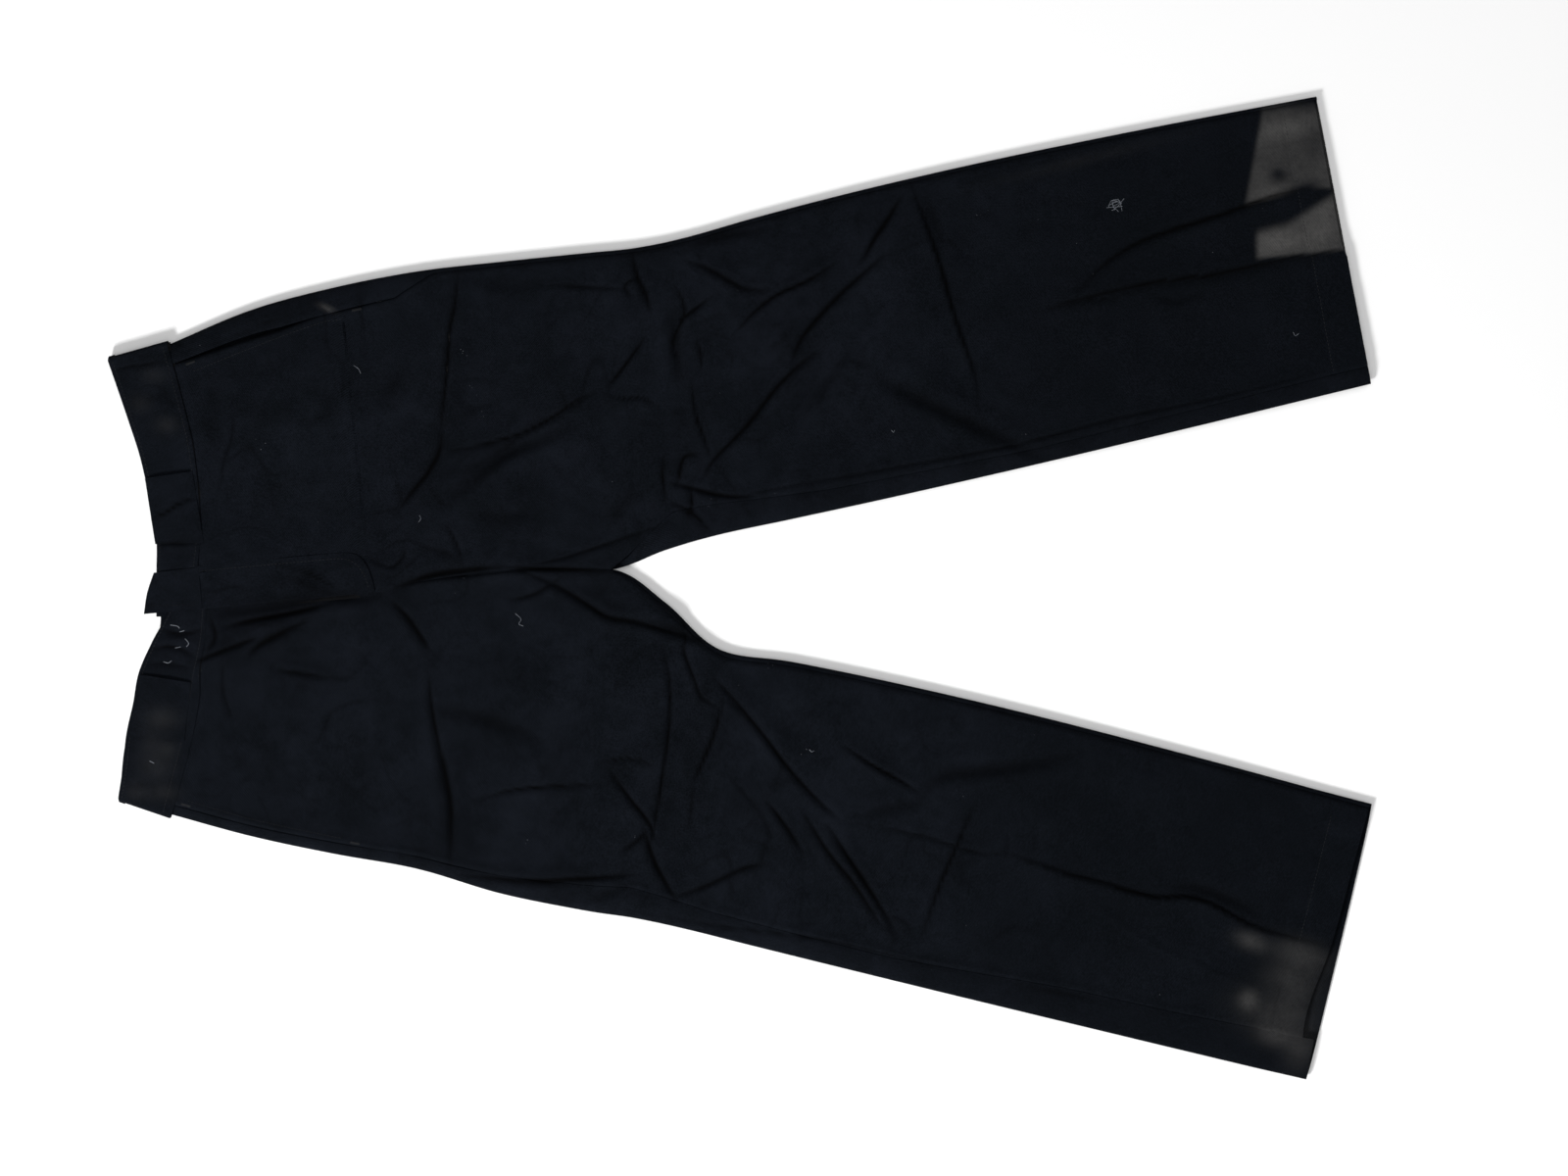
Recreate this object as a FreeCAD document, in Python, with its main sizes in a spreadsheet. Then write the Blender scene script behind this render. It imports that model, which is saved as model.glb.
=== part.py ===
import FreeCAD, Part
import os
import re
import Sketcher
from FreeCAD import Vector

# Work trousers laid flat, front up. Millimetres and degrees.
# +X runs from the waist to the hems, +Y to the wearer's left, +Z up.
# The origin is under the middle of the outline, on the surface they lie on.
#
# Every piece is a flat layer or a short wall: a sketched outline, padded upwards.
# Points are named along three lines of the garment:
#   leg_point    along and across a leg, from the crotch
#   fly_point    down and across the fly, from the waist seam's middle
#   side_point   down and inward from the waist seam's side corner

SIZES = {
    # cloth
    "twill": 1.0,                # shell cloth, with the nap it lies on
    "pocketing": 0.6,            # pocket and lining cloth
    "fit_gap": 0.3,              # air between two layers that are not sewn
    "clear_height": 4.6,         # room for a hand, a belt or a body part
    "seam_width": 3.0,           # a rolled seam along an edge
    "seam_allowance": 12.0,      # pressed open, both sides together
    # trunk
    "rise_length": 357.0,        # crotch to waist seam, along X
    "fly_skew": 34.0,            # how far the front line drifts in Y over the rise
    "waist_half_left": 229.0,    # waist seam, middle to side
    "waist_half_right": 178.0,
    "side_lift": 30.0,           # the side of the waist seam stands this much higher
    "band_width": 50.0,
    "band_taper": 14.0,          # the band's top edge is this much shorter at the side
    # legs
    "spread_left": 13.0,
    "spread_right": 13.4,
    "inseam_left": 678.0,
    "inseam_right": 687.0,
    "hem_skew": 10.0,            # the outer hem corner hangs this much lower
    "hem_left": 254.0,
    "hem_right": 246.0,
    "thigh_left": 256.0,         # leg width just below the crotch
    "thigh_right": 243.0,
    "hip_left": 290.0,           # crotch line to the side at the hip
    "hip_right": 292.0,
    "hip_height": 95.0,          # the widest place, above the crotch
    "fork_left": 9.0,            # inner edge's offset from the crotch line
    "fork_right": 46.0,
    "fork_length": 105.0,        # where the inner edge turns straight
    "crotch_inset": 12.6,        # the inseam's top end, from the crotch line
    "hem_depth": 30.0,
    # pockets
    "mouth_start": 20.0,         # side pocket mouth, below the waist seam
    "mouth_share": 0.565,        # its length, as a share of the hip's side edge
    "bag_share": 0.325,          # how far the bag hangs below it, as such a share
    "bag_width": 115.0,
    "bag_corner": 24.0,          # the bag's lower corner is set in this far
    "welt_length": 135.0,
    "welt_height": 18.0,
    "welt_drop": 70.0,           # back pocket, below the waist seam
    "welt_inset": 56.0,          # back pocket, from the seat seam
    "back_bag_depth": 150.0,
    "tack_width": 2.0,
    "tack_length": 8.0,
    "thread_hole": 0.8,          # radius, in the buttons
    "thread_spread": 1.4,        # thread holes from the button's middle, in X and in Y
    "button_diameter": 11.0,
    "button_thickness": 2.2,
    # fly and zip
    "fly_length": 150.0,
    "fly_width": 36.0,
    "zip_inset": 13.0,           # zip centre line, from the fly's free edge
    "tooth_pitch": 3.0,
    "tooth_height": 2.2,
    "chain_width": 3.0,          # one row of teeth with its bead
    "chain_gap": 0.75,           # half the gap between the open rows
    "bead_width": 0.9,           # the bead that carries the teeth
    "teeth_start": 4.0,          # first tooth, below the waist seam
    "tape_width": 12.0,
    "tape_tail": 8.0,            # the tapes run on past the bottom stop
    "slider_length": 11.0,
    "slider_wall": 0.8,
    "slider_play": 0.2,          # above and below the teeth
    "crown_width": 1.6,
    "crown_leg": 1.2,
    "crown_span": 6.7,
    "crown_room": 1.3,           # height of the opening that holds the pull's pin
    "crown_bridge": 0.7,
    "pull_length": 22.0,
    "pull_width": 5.2,
    "pull_arm": 1.1,
    "pull_thick": 0.8,
    "pull_hole": 1.3,            # radius
    # hook and loops
    "hook_height": 1.9,
    "hook_metal": 0.5,
    "hook_width": 10.0,
    "hook_length": 15.0,
    "hook_reach": 9.0,           # the tongue that catches the bar
    "hook_edge": 8.0,            # from the fly's free edge
    "bar_width": 11.0,
    "bar_foot": 2.0,
    "bar_depth": 3.0,
    "bar_room": 0.9,             # under the bar, for the hook's tongue
    "bar_edge": 6.0,
    "backing_depth": 8.0,
    "hook_place": 0.72,          # share of the band's width, from the waist seam
    "bar_place": 0.28,
    "loop_width": 57.0,          # front tunnel loops
    "loop_offset": 55.0,         # front tunnel loops, from the fly's free edge
    "back_loop_width": 12.0,
    "strap": 0.8,
    "flat_loop_gap": 1.0,        # back loops lie pressed under the band
}

# Heights and corner places that follow from the sizes.
LAYOUT = {
    "welt_z": "button_thickness + fit_gap",
    "back_bag_z": "welt_z + twill",
    "bag_z": "back_bag_z + 2 * pocketing + fit_gap",
    "bag_top_z": "bag_z + pocketing + clear_height",
    "front_z": "bag_top_z + pocketing + fit_gap",
    "front_top": "front_z + twill",
    "band_z": "strap + flat_loop_gap",
    "band_thick": "twill + 2 * pocketing",
    "mouth_z": "band_z + band_thick",
    "band_front_z": "mouth_z + clear_height",
    "band_top": "band_front_z + band_thick",
    "strap_z": "band_top + clear_height",
    "flap_z": "max(front_top + fit_gap; band_top + fit_gap + hook_height)",
    "flap_top": "flap_z + pocketing + twill",
    "shield_z": "twill + pocketing + 2 * fit_gap",
    "slider_z": "shield_z + 2 * pocketing + fit_gap",
    "tooth_z": "slider_z + slider_wall + slider_play",
    "tape_z": "tooth_z + (tooth_height - pocketing) / 2",
    "slider_top": "tooth_z + tooth_height + slider_play",
    "crown_z": "slider_top + slider_wall",
    "fly_tilt": "atan2(fly_skew; rise_length)",
    "side_edge": "rise_length + side_lift - hip_height",
    "mouth_end": "mouth_start + mouth_share * side_edge",
    "bag_end": "mouth_end + bag_share * side_edge",
    "chain_half": "chain_gap + chain_width",
    "zip_end": "fly_length - 17",
    "row_end": "zip_end - slider_length - 4",
    "hem_corner_x": "inseam_left * cos(spread_left) - fork_left * sin(spread_left)",
    "crotch_x": "(rise_length + side_lift + band_width - hem_corner_x) / 2",
    "outer_left": "(inseam_left + hem_skew) * sin(spread_left)"
                  " + (fork_left + hem_left) * cos(spread_left)",
    "outer_right": "inseam_right * sin(spread_right) + (fork_right + hem_right) * cos(spread_right)",
    "crotch_y": "(outer_right - outer_left) / 2",
    "waist_x": "crotch_x - rise_length",
    "waist_y": "crotch_y - fly_skew",
}
SIDES = {"left": 1, "right": -1}
LENGTH_NAMES = "|".join(sorted(list(SIZES) + list(LAYOUT), key=len, reverse=True))

doc = FreeCAD.newDocument("work_trousers")


def make_sheet():
    """The driving sizes, one named cell each."""
    sheet = doc.addObject("Spreadsheet::Sheet", "Sizes")
    for row, (name, value) in enumerate(SIZES.items(), start=1):
        sheet.set(f"A{row}", str(value))
        sheet.setAlias(f"A{row}", name)
    doc.recompute()
    return sheet


def bind(expression):
    """Plain size names, written as FreeCAD expressions."""
    def owner(match):
        name = match.group(0)
        return f"Sizes.{name}" if name in SIZES else f"Layout.{name}"
    return re.sub(rf"\b({LENGTH_NAMES})\b", owner, str(expression))


def make_layout():
    """The worked-out heights and places, bound to the sheet."""
    layout = doc.addObject("App::VarSet", "Layout")
    for name in LAYOUT:
        layout.addProperty("App::PropertyFloat", name)
    for name, expression in LAYOUT.items():
        layout.setExpression(name, bind(expression))
    doc.recompute()
    return layout


sheet = make_sheet()
layout = make_layout()


def value(expression):
    return float(sheet.evalExpression(bind(expression)))


# ---- points ---------------------------------------------------------------------------

def leg_point(side, along, across):
    """Along the leg from the crotch, and across it towards the outseam."""
    sign = SIDES[side]
    turn = f"spread_{side}"
    x = f"crotch_x + ({along}) * cos({turn}) - ({across}) * sin({turn})"
    y = f"crotch_y + {sign} * (({along}) * sin({turn}) + ({across}) * cos({turn}))"
    return x, y


def fly_point(down, across):
    """Down the front line from the waist seam, and across it to the wearer's left."""
    x = f"waist_x + ({down}) * cos(fly_tilt) - ({across}) * sin(fly_tilt)"
    y = f"waist_y + ({down}) * sin(fly_tilt) + ({across}) * cos(fly_tilt)"
    return x, y


def waist_point(side, share, up):
    """On the waistband: share 0 at the middle to 1 at the side, up from the waist seam."""
    sign = SIDES[side]
    x = f"waist_x - side_lift * ({share})^2 - ({up})"
    y = f"waist_y + {sign} * ({share}) * (waist_half_{side} - band_taper * ({up}) / band_width)"
    return x, y


def side_point(side, down, inward):
    """Along the hip's side edge from the waist seam, and inward from that edge."""
    corner = waist_point(side, 1, 0)
    hip = leg_point(side, "-hip_height", f"hip_{side}")
    dx, dy = f"(({hip[0]}) - ({corner[0]}))", f"(({hip[1]}) - ({corner[1]}))"
    turn = f"atan2({dy}; {dx})"
    sign = SIDES[side]
    x = f"{corner[0]} + ({down}) * cos({turn}) + {sign} * ({inward}) * sin({turn})"
    y = f"{corner[1]} + ({down}) * sin({turn}) - {sign} * ({inward}) * cos({turn})"
    return x, y


# ---- making pieces --------------------------------------------------------------------

PIECES = []


def new_body(name):
    body = doc.addObject("PartDesign::Body", "Body_" + name)
    body.Label = name
    PIECES.append(body)
    return body


def plane_of(body, role):
    return next(item for item in body.Origin.OriginFeatures if item.Role == role)


def outline(body, points, z):
    """A closed outline at height z, every corner bound to the sizes."""
    sketch = body.newObject("Sketcher::SketchObject", "Outline")
    sketch.AttachmentSupport = [(plane_of(body, "XY_Plane"), "")]
    sketch.MapMode = "FlatFace"
    sketch.setExpression(".AttachmentOffset.Base.z", bind(z))
    at = [Vector(value(x), value(y), 0) for x, y in points]
    count = len(at)
    lines = [Part.LineSegment(at[i], at[(i + 1) % count]) for i in range(count)]
    sketch.addGeometry(lines, False)
    for i in range(count):
        sketch.addConstraint(Sketcher.Constraint("Coincident", i, 2, (i + 1) % count, 1))
    for i, (x, y) in enumerate(points):
        for kind, number, expression in (("DistanceX", at[i].x, x), ("DistanceY", at[i].y, y)):
            index = sketch.addConstraint(Sketcher.Constraint(kind, -1, 1, i, 1, number))
            sketch.setExpression(f"Constraints[{index}]", bind(expression))
    return sketch


def circle(body, centre, radius, z):
    sketch = body.newObject("Sketcher::SketchObject", "Circle")
    sketch.AttachmentSupport = [(plane_of(body, "XY_Plane"), "")]
    sketch.MapMode = "FlatFace"
    sketch.setExpression(".AttachmentOffset.Base.z", bind(z))
    middle = Vector(value(centre[0]), value(centre[1]), 0)
    sketch.addGeometry(Part.Circle(middle, Vector(0, 0, 1), value(radius)), False)
    for kind, number, expression in (("DistanceX", middle.x, centre[0]),
                                     ("DistanceY", middle.y, centre[1])):
        index = sketch.addConstraint(Sketcher.Constraint(kind, -1, 1, 0, 3, number))
        sketch.setExpression(f"Constraints[{index}]", bind(expression))
    index = sketch.addConstraint(Sketcher.Constraint("Radius", 0, value(radius)))
    sketch.setExpression(f"Constraints[{index}]", bind(radius))
    return sketch


def pad(body, sketch, thick):
    feature = body.newObject("PartDesign::Pad", "Pad")
    feature.Profile = sketch
    feature.setExpression("Length", bind(thick))
    return feature


def layer(name, points, z, thick):
    """One flat piece."""
    body = new_body(name)
    pad(body, outline(body, points, z), thick)
    return body


def cut(body, sketch, depth):
    """A pocket that goes up from its sketch; it must remove material."""
    doc.recompute()
    before = body.Shape.Volume
    feature = body.newObject("PartDesign::Pocket", "Cut")
    feature.Profile = sketch
    feature.setExpression("Length", bind(depth))
    feature.Reversed = True
    doc.recompute()
    if body.Shape.Volume > before - 0.01:
        raise ValueError(f"{body.Label}: the cut removed nothing")


def group(name, solids):
    """Several like solids that share one node."""
    parts = []
    for points, z, thick in solids:
        body = doc.addObject("PartDesign::Body", "Member")
        pad(body, outline(body, points, z), thick)
        parts.append(body)
    compound = doc.addObject("Part::Compound", "Group_" + name)
    compound.Label = name
    compound.Links = parts
    PIECES.append(compound)


def fly_box(down, across, length, width):
    """A rectangle in the fly's own directions, from its corner."""
    far_down, far_across = f"({down}) + ({length})", f"({across}) + ({width})"
    corners = ((down, across), (far_down, across), (far_down, far_across), (down, far_across))
    return [fly_point(*corner) for corner in corners]


# ---- legs and trunk -------------------------------------------------------------------

def inner_edge(side):
    """Crotch to hem."""
    return [leg_point(side, 0, 0), leg_point(side, "fork_length", f"fork_{side}"),
            leg_point(side, f"inseam_{side}", f"fork_{side}")]


def hem_corner_along(side):
    """The left hem's outer corner hangs lower than its inner one."""
    return "inseam_left + hem_skew" if side == "left" else "inseam_right"


def outer_edge(side):
    """Hem to waist."""
    return [leg_point(side, hem_corner_along(side), f"fork_{side} + hem_{side}"),
            leg_point(side, "fork_length", f"fork_{side} + thigh_{side}"),
            leg_point(side, "-hip_height", f"hip_{side}"),
            waist_point(side, 1, 0)]


def waist_edge(side):
    """Side to middle along the waist seam."""
    return [waist_point(side, share, 0) for share in (0.6, 0.3)]


def back_panel(side):
    points = inner_edge(side) + outer_edge(side) + waist_edge(side) + [waist_point(side, 0, 0)]
    body = layer(f"back_panel_{side}", points, "0", "twill")
    cut(body, circle(body, button_centre(side), "button_diameter / 2 + 2 * fit_gap", "0"), "twill")


def front_panel(side):
    """The left front stops at the fly's stitching; the right front reaches under the flap."""
    edge = "fly_width + fit_gap" if side == "left" else "zip_inset - 5"
    drop = "fly_length + fit_gap"
    fly = [fly_point(0, edge), fly_point(drop, edge), fly_point(drop, 0)]
    points = inner_edge(side) + outer_edge(side) + waist_edge(side) + fly
    layer(f"front_panel_{side}", points, "front_z", "twill")


def seams(side):
    """Rolled seams that join the front to the back along both edges of the leg."""
    wall = "front_z - twill"
    crotch_gap = "seam_width * 2"
    inside = [leg_point(side, crotch_gap, "crotch_inset"),
              leg_point(side, "fork_length", f"fork_{side}"),
              leg_point(side, f"inseam_{side}", f"fork_{side}"),
              leg_point(side, f"inseam_{side}", f"fork_{side} + seam_width"),
              leg_point(side, "fork_length", f"fork_{side} + seam_width"),
              leg_point(side, crotch_gap, "crotch_inset + seam_width")]
    layer(f"inseam_{side}", inside, "twill", wall)
    below_mouth = "mouth_end + tack_length + 2 * seam_width"
    outside = [leg_point(side, hem_corner_along(side), f"fork_{side} + hem_{side}"),
               leg_point(side, "fork_length", f"fork_{side} + thigh_{side}"),
               leg_point(side, "-hip_height", f"hip_{side}"),
               side_point(side, below_mouth, 0),
               side_point(side, below_mouth, "seam_width"),
               leg_point(side, "-hip_height", f"hip_{side} - seam_width"),
               leg_point(side, "fork_length", f"fork_{side} + thigh_{side} - seam_width"),
               leg_point(side, hem_corner_along(side), f"fork_{side} + hem_{side} - seam_width")]
    layer(f"outseam_{side}", outside, "twill", wall)


def hems(side):
    """The turned-up cloth inside each hem, front and back."""
    inset = "seam_width + fit_gap"
    near, far = f"fork_{side} + {inset}", f"fork_{side} + hem_{side} - ({inset})"
    points = [leg_point(side, f"inseam_{side} - hem_depth", near),
              leg_point(side, f"inseam_{side} - fit_gap", near),
              leg_point(side, f"{hem_corner_along(side)} - fit_gap", far),
              leg_point(side, f"{hem_corner_along(side)} - hem_depth", far)]
    layer(f"hem_back_{side}", points, "twill", "twill")
    layer(f"hem_front_{side}", points, "front_z - twill", "twill")


def rise_seams():
    """Front rise below the fly, and the seat seam up to the back waist."""
    half = "seam_allowance / 2"
    start = "fly_length + 2 * fit_gap"
    end = "rise_length / cos(fly_tilt) - 2 * seam_width"
    front = [fly_point(start, f"-{half}"), fly_point(end, f"-{half}"),
             fly_point(end, half), fly_point(start, half)]
    layer("front_rise_seam", front, "front_z - pocketing", "pocketing")
    back = [fly_point("fit_gap", f"-{half}"), fly_point(end, f"-{half}"),
            fly_point(end, half), fly_point("fit_gap", half)]
    layer("seat_seam", back, "twill", "pocketing")


# ---- waistband ------------------------------------------------------------------------

BAND_SHARES = (1, 0.6, 0.3)


def band_outline(side, inner_edge_across):
    """A front half of the band, from the side to an edge parallel to the fly."""
    up = "band_width"
    low = [waist_point(side, share, "fit_gap") for share in BAND_SHARES]
    high = [waist_point(side, share, up) for share in reversed(BAND_SHARES)]
    return low + [fly_point("-fit_gap", inner_edge_across),
                  fly_point(f"-{up}", inner_edge_across)] + high


def waistband():
    """Shell cloth outside, stiffener in the middle, lining inside."""
    ends = {"left": "fly_width + fit_gap", "right": "fly_width - 4"}
    layers = (("waistband_lining_front", "0", "pocketing"),
              ("waistband_stiffener_front", "pocketing", "pocketing"),
              ("waistband_front", "2 * pocketing", "twill"))
    for side, edge in ends.items():
        for name, rise, thick in layers:
            layer(f"{name}_{side}", band_outline(side, edge), f"band_front_z + {rise}", thick)
    low = [waist_point("right", share, "fit_gap") for share in (0.3, 0.6, 1)]
    high = [waist_point("right", share, "band_width") for share in (1, 0.6, 0.3)]
    low_left = [waist_point("left", share, "band_width") for share in (0.3, 0.6, 1)]
    high_left = [waist_point("left", share, "fit_gap") for share in (1, 0.6, 0.3)]
    back = low + high + low_left + high_left
    for name, rise, thick in (("waistband_back", "0", "twill"),
                              ("waistband_stiffener_back", "twill", "pocketing"),
                              ("waistband_lining_back", "twill + pocketing", "pocketing")):
        layer(name, back, f"band_z + {rise}", thick)


def band_side_seams():
    """Where the back of the band turns round to the front, one at each side."""
    solids = []
    for side in SIDES:
        sign = SIDES[side]
        outer = [waist_point(side, 1, "fit_gap"), waist_point(side, 1, "band_width")]
        inner = [(x, f"{y} - {sign} * seam_width") for x, y in reversed(outer)]
        solids.append((outer + inner, "mouth_z", "clear_height"))
    group("waistband_side_seams", solids)


def tab():
    """The left end of the band beyond the fly's stitching, free to lift with the flap."""
    points = fly_box("-band_width", 0, "band_width - fit_gap", "fly_width")
    layer("waistband_tab_lining", points, "flap_z", "pocketing")
    layer("waistband_tab", points, "flap_z + pocketing", "twill")


def band_strip(side, share_start, share_end, up, height):
    """A four-cornered stretch of the band between two shares of its half width."""
    return [waist_point(side, share_start, up), waist_point(side, share_end, up),
            waist_point(side, share_end, f"{up} + {height}"),
            waist_point(side, share_start, f"{up} + {height}")]


LOOP_INSET = "2"        # a loop's ends stop this far inside the band's edges


def loop(name, side, start, width, strap_z, strap, foot_z, foot):
    """A strap over the band's width with its two turned ends sewn down."""
    shares = (f"({start}) / waist_half_{side}", f"({start} + {width}) / waist_half_{side}")
    height = f"band_width - 2 * {LOOP_INSET}"
    body = layer(name, band_strip(side, *shares, LOOP_INSET, height), strap_z, strap)
    for up in (LOOP_INSET, f"band_width - {LOOP_INSET} - seam_width"):
        pad(body, outline(body, band_strip(side, *shares, up, "seam_width"), foot_z), foot)


def front_loop(side):
    """A wide tunnel loop that a belt passes through."""
    loop(f"front_belt_loop_{side}", side, "loop_offset", "loop_width",
         "strap_z", "twill", "band_top", "clear_height")


def back_loops():
    """Narrow loops behind the band, lying pressed flat."""
    places = (("back_belt_loop_left", "left", "waist_half_left * 0.55"),
              ("back_belt_loop_centre", "left", "-back_loop_width / 2"),
              ("back_belt_loop_right", "right", "waist_half_right * 0.6"))
    for name, side, start in places:
        loop(name, side, start, "back_loop_width", "0", "strap", "strap", "flat_loop_gap")


# ---- fly, zip and hook ----------------------------------------------------------------

def fly_curve(start, width, end):
    """The fly's shape: straight down the stitching, then curved in to the front line."""
    steps = ((0.80, 1.0), (0.88, 0.93), (0.94, 0.78), (0.98, 0.5), (1.0, 0.15))
    curve = [fly_point(f"({end}) * {down}", f"({width}) * {across}") for down, across in steps]
    return [fly_point(start, 0), fly_point(start, width)] + curve + [fly_point(end, 0)]


def flap():
    """The overlapping left edge of the fly and its facing, which carries the left tape."""
    layer("fly_flap", fly_curve("fit_gap", "fly_width", "fly_length"), "flap_z + pocketing", "twill")
    body = layer("fly_facing", fly_box("2 * fit_gap", 3, "row_end - 2 * fit_gap", "fly_width - 5"),
                 "flap_z", "pocketing")
    hem = outline(body, fly_box("2 * fit_gap", "zip_inset + chain_gap + chain_width + tape_width",
                                "row_end - 2 * fit_gap", "twill"), "tape_z")
    pad(body, hem, "flap_z - tape_z")


def shield():
    """The right underlap behind the zip, turned up to the right front's edge."""
    wall = "zip_inset - chain_half - tape_width - twill"
    length = "fly_length - seam_width - 2 * fit_gap"
    body = layer("fly_shield", fly_box("seam_width", wall, length, f"fly_width - 3 - ({wall})"),
                 "shield_z", "2 * pocketing")
    edge = outline(body, fly_box("seam_width", wall, length, "twill"), "shield_z + 2 * pocketing")
    pad(body, edge, "front_z - shield_z - 2 * pocketing")


def zip_tapes():
    """The right tape reaches round the bottom, where both are sewn together."""
    layer("zip_tape_right", fly_box("2 * fit_gap", "zip_inset - chain_half - tape_width",
                                    "zip_end + tape_tail", "tape_width"), "tape_z", "pocketing")
    layer("zip_tape_left", fly_box("2 * fit_gap", "zip_inset + chain_half",
                                   "row_end - 2 * fit_gap", "tape_width"), "tape_z", "pocketing")


def zip_row(side, end):
    """A comb of teeth on a bead, one tooth every pitch."""
    sign = SIDES[side]
    outer = f"zip_inset + {sign} * chain_half"
    body = layer(f"zip_teeth_{side}",
                 fly_box("teeth_start", outer, f"({end}) - teeth_start", f"-{sign} * bead_width"),
                 "tooth_z", "tooth_height")
    first = fly_box("teeth_start", f"zip_inset + {sign} * chain_gap", "tooth_pitch * 0.55",
                    f"{sign} * (chain_width - bead_width + 0.1)")
    tooth = pad(body, outline(body, first, "tooth_z"), "tooth_height")
    run = body.newObject("Sketcher::SketchObject", "Run")
    run.AttachmentSupport = [(plane_of(body, "XY_Plane"), "")]
    run.MapMode = "FlatFace"
    corners = (fly_point("teeth_start", 0), fly_point("zip_end", 0))
    ends = [Vector(value(x), value(y), 0) for x, y in corners]
    run.addGeometry(Part.LineSegment(*ends), False)
    for vertex, corner, place in zip((1, 2), corners, ends):
        for kind, number, expression in (("DistanceX", place.x, corner[0]),
                                         ("DistanceY", place.y, corner[1])):
            index = run.addConstraint(Sketcher.Constraint(kind, -1, 1, 0, vertex, number))
            run.setExpression(f"Constraints[{index}]", bind(expression))
    doc.recompute()
    teeth = body.newObject("PartDesign::LinearPattern", "Teeth")
    teeth.Originals = [tooth]
    teeth.Direction = (run, ["Edge1"])
    count = f"floor((({end}) - teeth_start - 0.7 * tooth_pitch) / tooth_pitch)"
    teeth.setExpression("Occurrences", bind(count))
    teeth.setExpression("Length", bind(f"({count} - 1) * tooth_pitch"))
    body.Tip = teeth


def zip_stops():
    """One crimped stop at the top of each row, one block across both at the bottom."""
    layer("zip_bottom_stop", fly_box("zip_end + 1.5", "zip_inset - chain_half", "tooth_pitch",
                                     "2 * chain_half"), "tooth_z", "tooth_height")
    for side, sign in SIDES.items():
        start = f"zip_inset + {sign} * chain_gap"
        layer(f"zip_top_stop_{side}", fly_box("4 * fit_gap", start, 2.4, f"{sign} * chain_width"),
              "tooth_z", "tooth_height")


def slider_plate():
    """The slider's outline, one millimetre wider than the rows on each side."""
    return fly_box("zip_end - slider_length", "zip_inset - chain_half - 1",
                   "slider_length", "2 * (chain_half + 1)")


def zip_slider():
    """Two plates on a post between the rows, with a crown that holds the pull."""
    body = layer("zip_slider", slider_plate(), "slider_z", "slider_wall")
    post = fly_box("zip_end - slider_length", "zip_inset - chain_gap + fit_gap", 3,
                   "2 * (chain_gap - fit_gap)")
    post_height = "slider_top - slider_z - slider_wall"
    pad(body, outline(body, post, "slider_z + slider_wall"), post_height)
    pad(body, outline(body, slider_plate(), "slider_top"), "slider_wall")
    start = "zip_end - slider_length + 2"
    across = "zip_inset - crown_width / 2"
    for down in (start, f"{start} + crown_span - crown_leg"):
        leg = fly_box(down, across, "crown_leg", "crown_width")
        pad(body, outline(body, leg, "crown_z"), "crown_room")
    bridge = fly_box(start, across, "crown_span", "crown_width")
    pad(body, outline(body, bridge, "crown_z + crown_room"), "crown_bridge")


def zip_pull():
    """A cross pin under the crown, two arms past its lower leg and a tongue."""
    pin = "zip_end - slider_length + 4.5"
    edge = "zip_inset - pull_width / 2"
    z = "crown_z + 0.25"
    arm_length, tongue_start = 6, 5.5
    body = layer("zip_pull", fly_box(pin, edge, "pull_thick", "pull_width"), z, "pull_thick")
    for across in (edge, f"{edge} + pull_width - pull_arm"):
        pad(body, outline(body, fly_box(pin, across, arm_length, "pull_arm"), z), "pull_thick")
    tongue = fly_box(f"{pin} + {tongue_start}", edge, f"pull_length - {tongue_start}", "pull_width")
    pad(body, outline(body, tongue, z), "pull_thick")
    hole = circle(body, fly_point(f"{pin} + pull_length - 4", "zip_inset"), "pull_hole", z)
    cut(body, hole, "pull_thick")


def hook_and_bar():
    """A flat hook under the tab; its bar stands on the right band, lower on the garment."""
    hook, bar = "-band_width * hook_place", "-band_width * bar_place"
    low, under = "flap_z - hook_height", "flap_z - hook_metal"
    body = layer("trouser_hook", fly_box(hook, "hook_edge", "hook_width", "hook_length"),
                 under, "hook_metal")
    pad(body, outline(body, fly_box(hook, "hook_edge", "hook_width", 0.8), low),
        "hook_height - hook_metal")
    pad(body, outline(body, fly_box(f"{hook} + 2", "hook_edge", "hook_width - 4", "hook_reach"), low),
        "hook_metal")
    layer("hook_backing_plate",
          fly_box(f"{hook} - 1", "hook_edge + hook_length + 2", "hook_width + 2", "backing_depth"),
          under, "hook_metal")
    rail = layer("trouser_bar", fly_box(bar, "bar_edge", "bar_width", "bar_depth"),
                 "band_top + bar_room", 0.6)
    for down in (bar, f"{bar} + bar_width - bar_foot"):
        foot = outline(rail, fly_box(down, "bar_edge", "bar_foot", "bar_depth"), "band_top")
        pad(rail, foot, "bar_room")
    layer("bar_backing_plate", fly_box(f"{bar} - 1", "bar_edge - 2", "bar_width + 2", "backing_depth"),
          "band_front_z - hook_metal", "hook_metal")


# ---- pockets --------------------------------------------------------------------------

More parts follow.
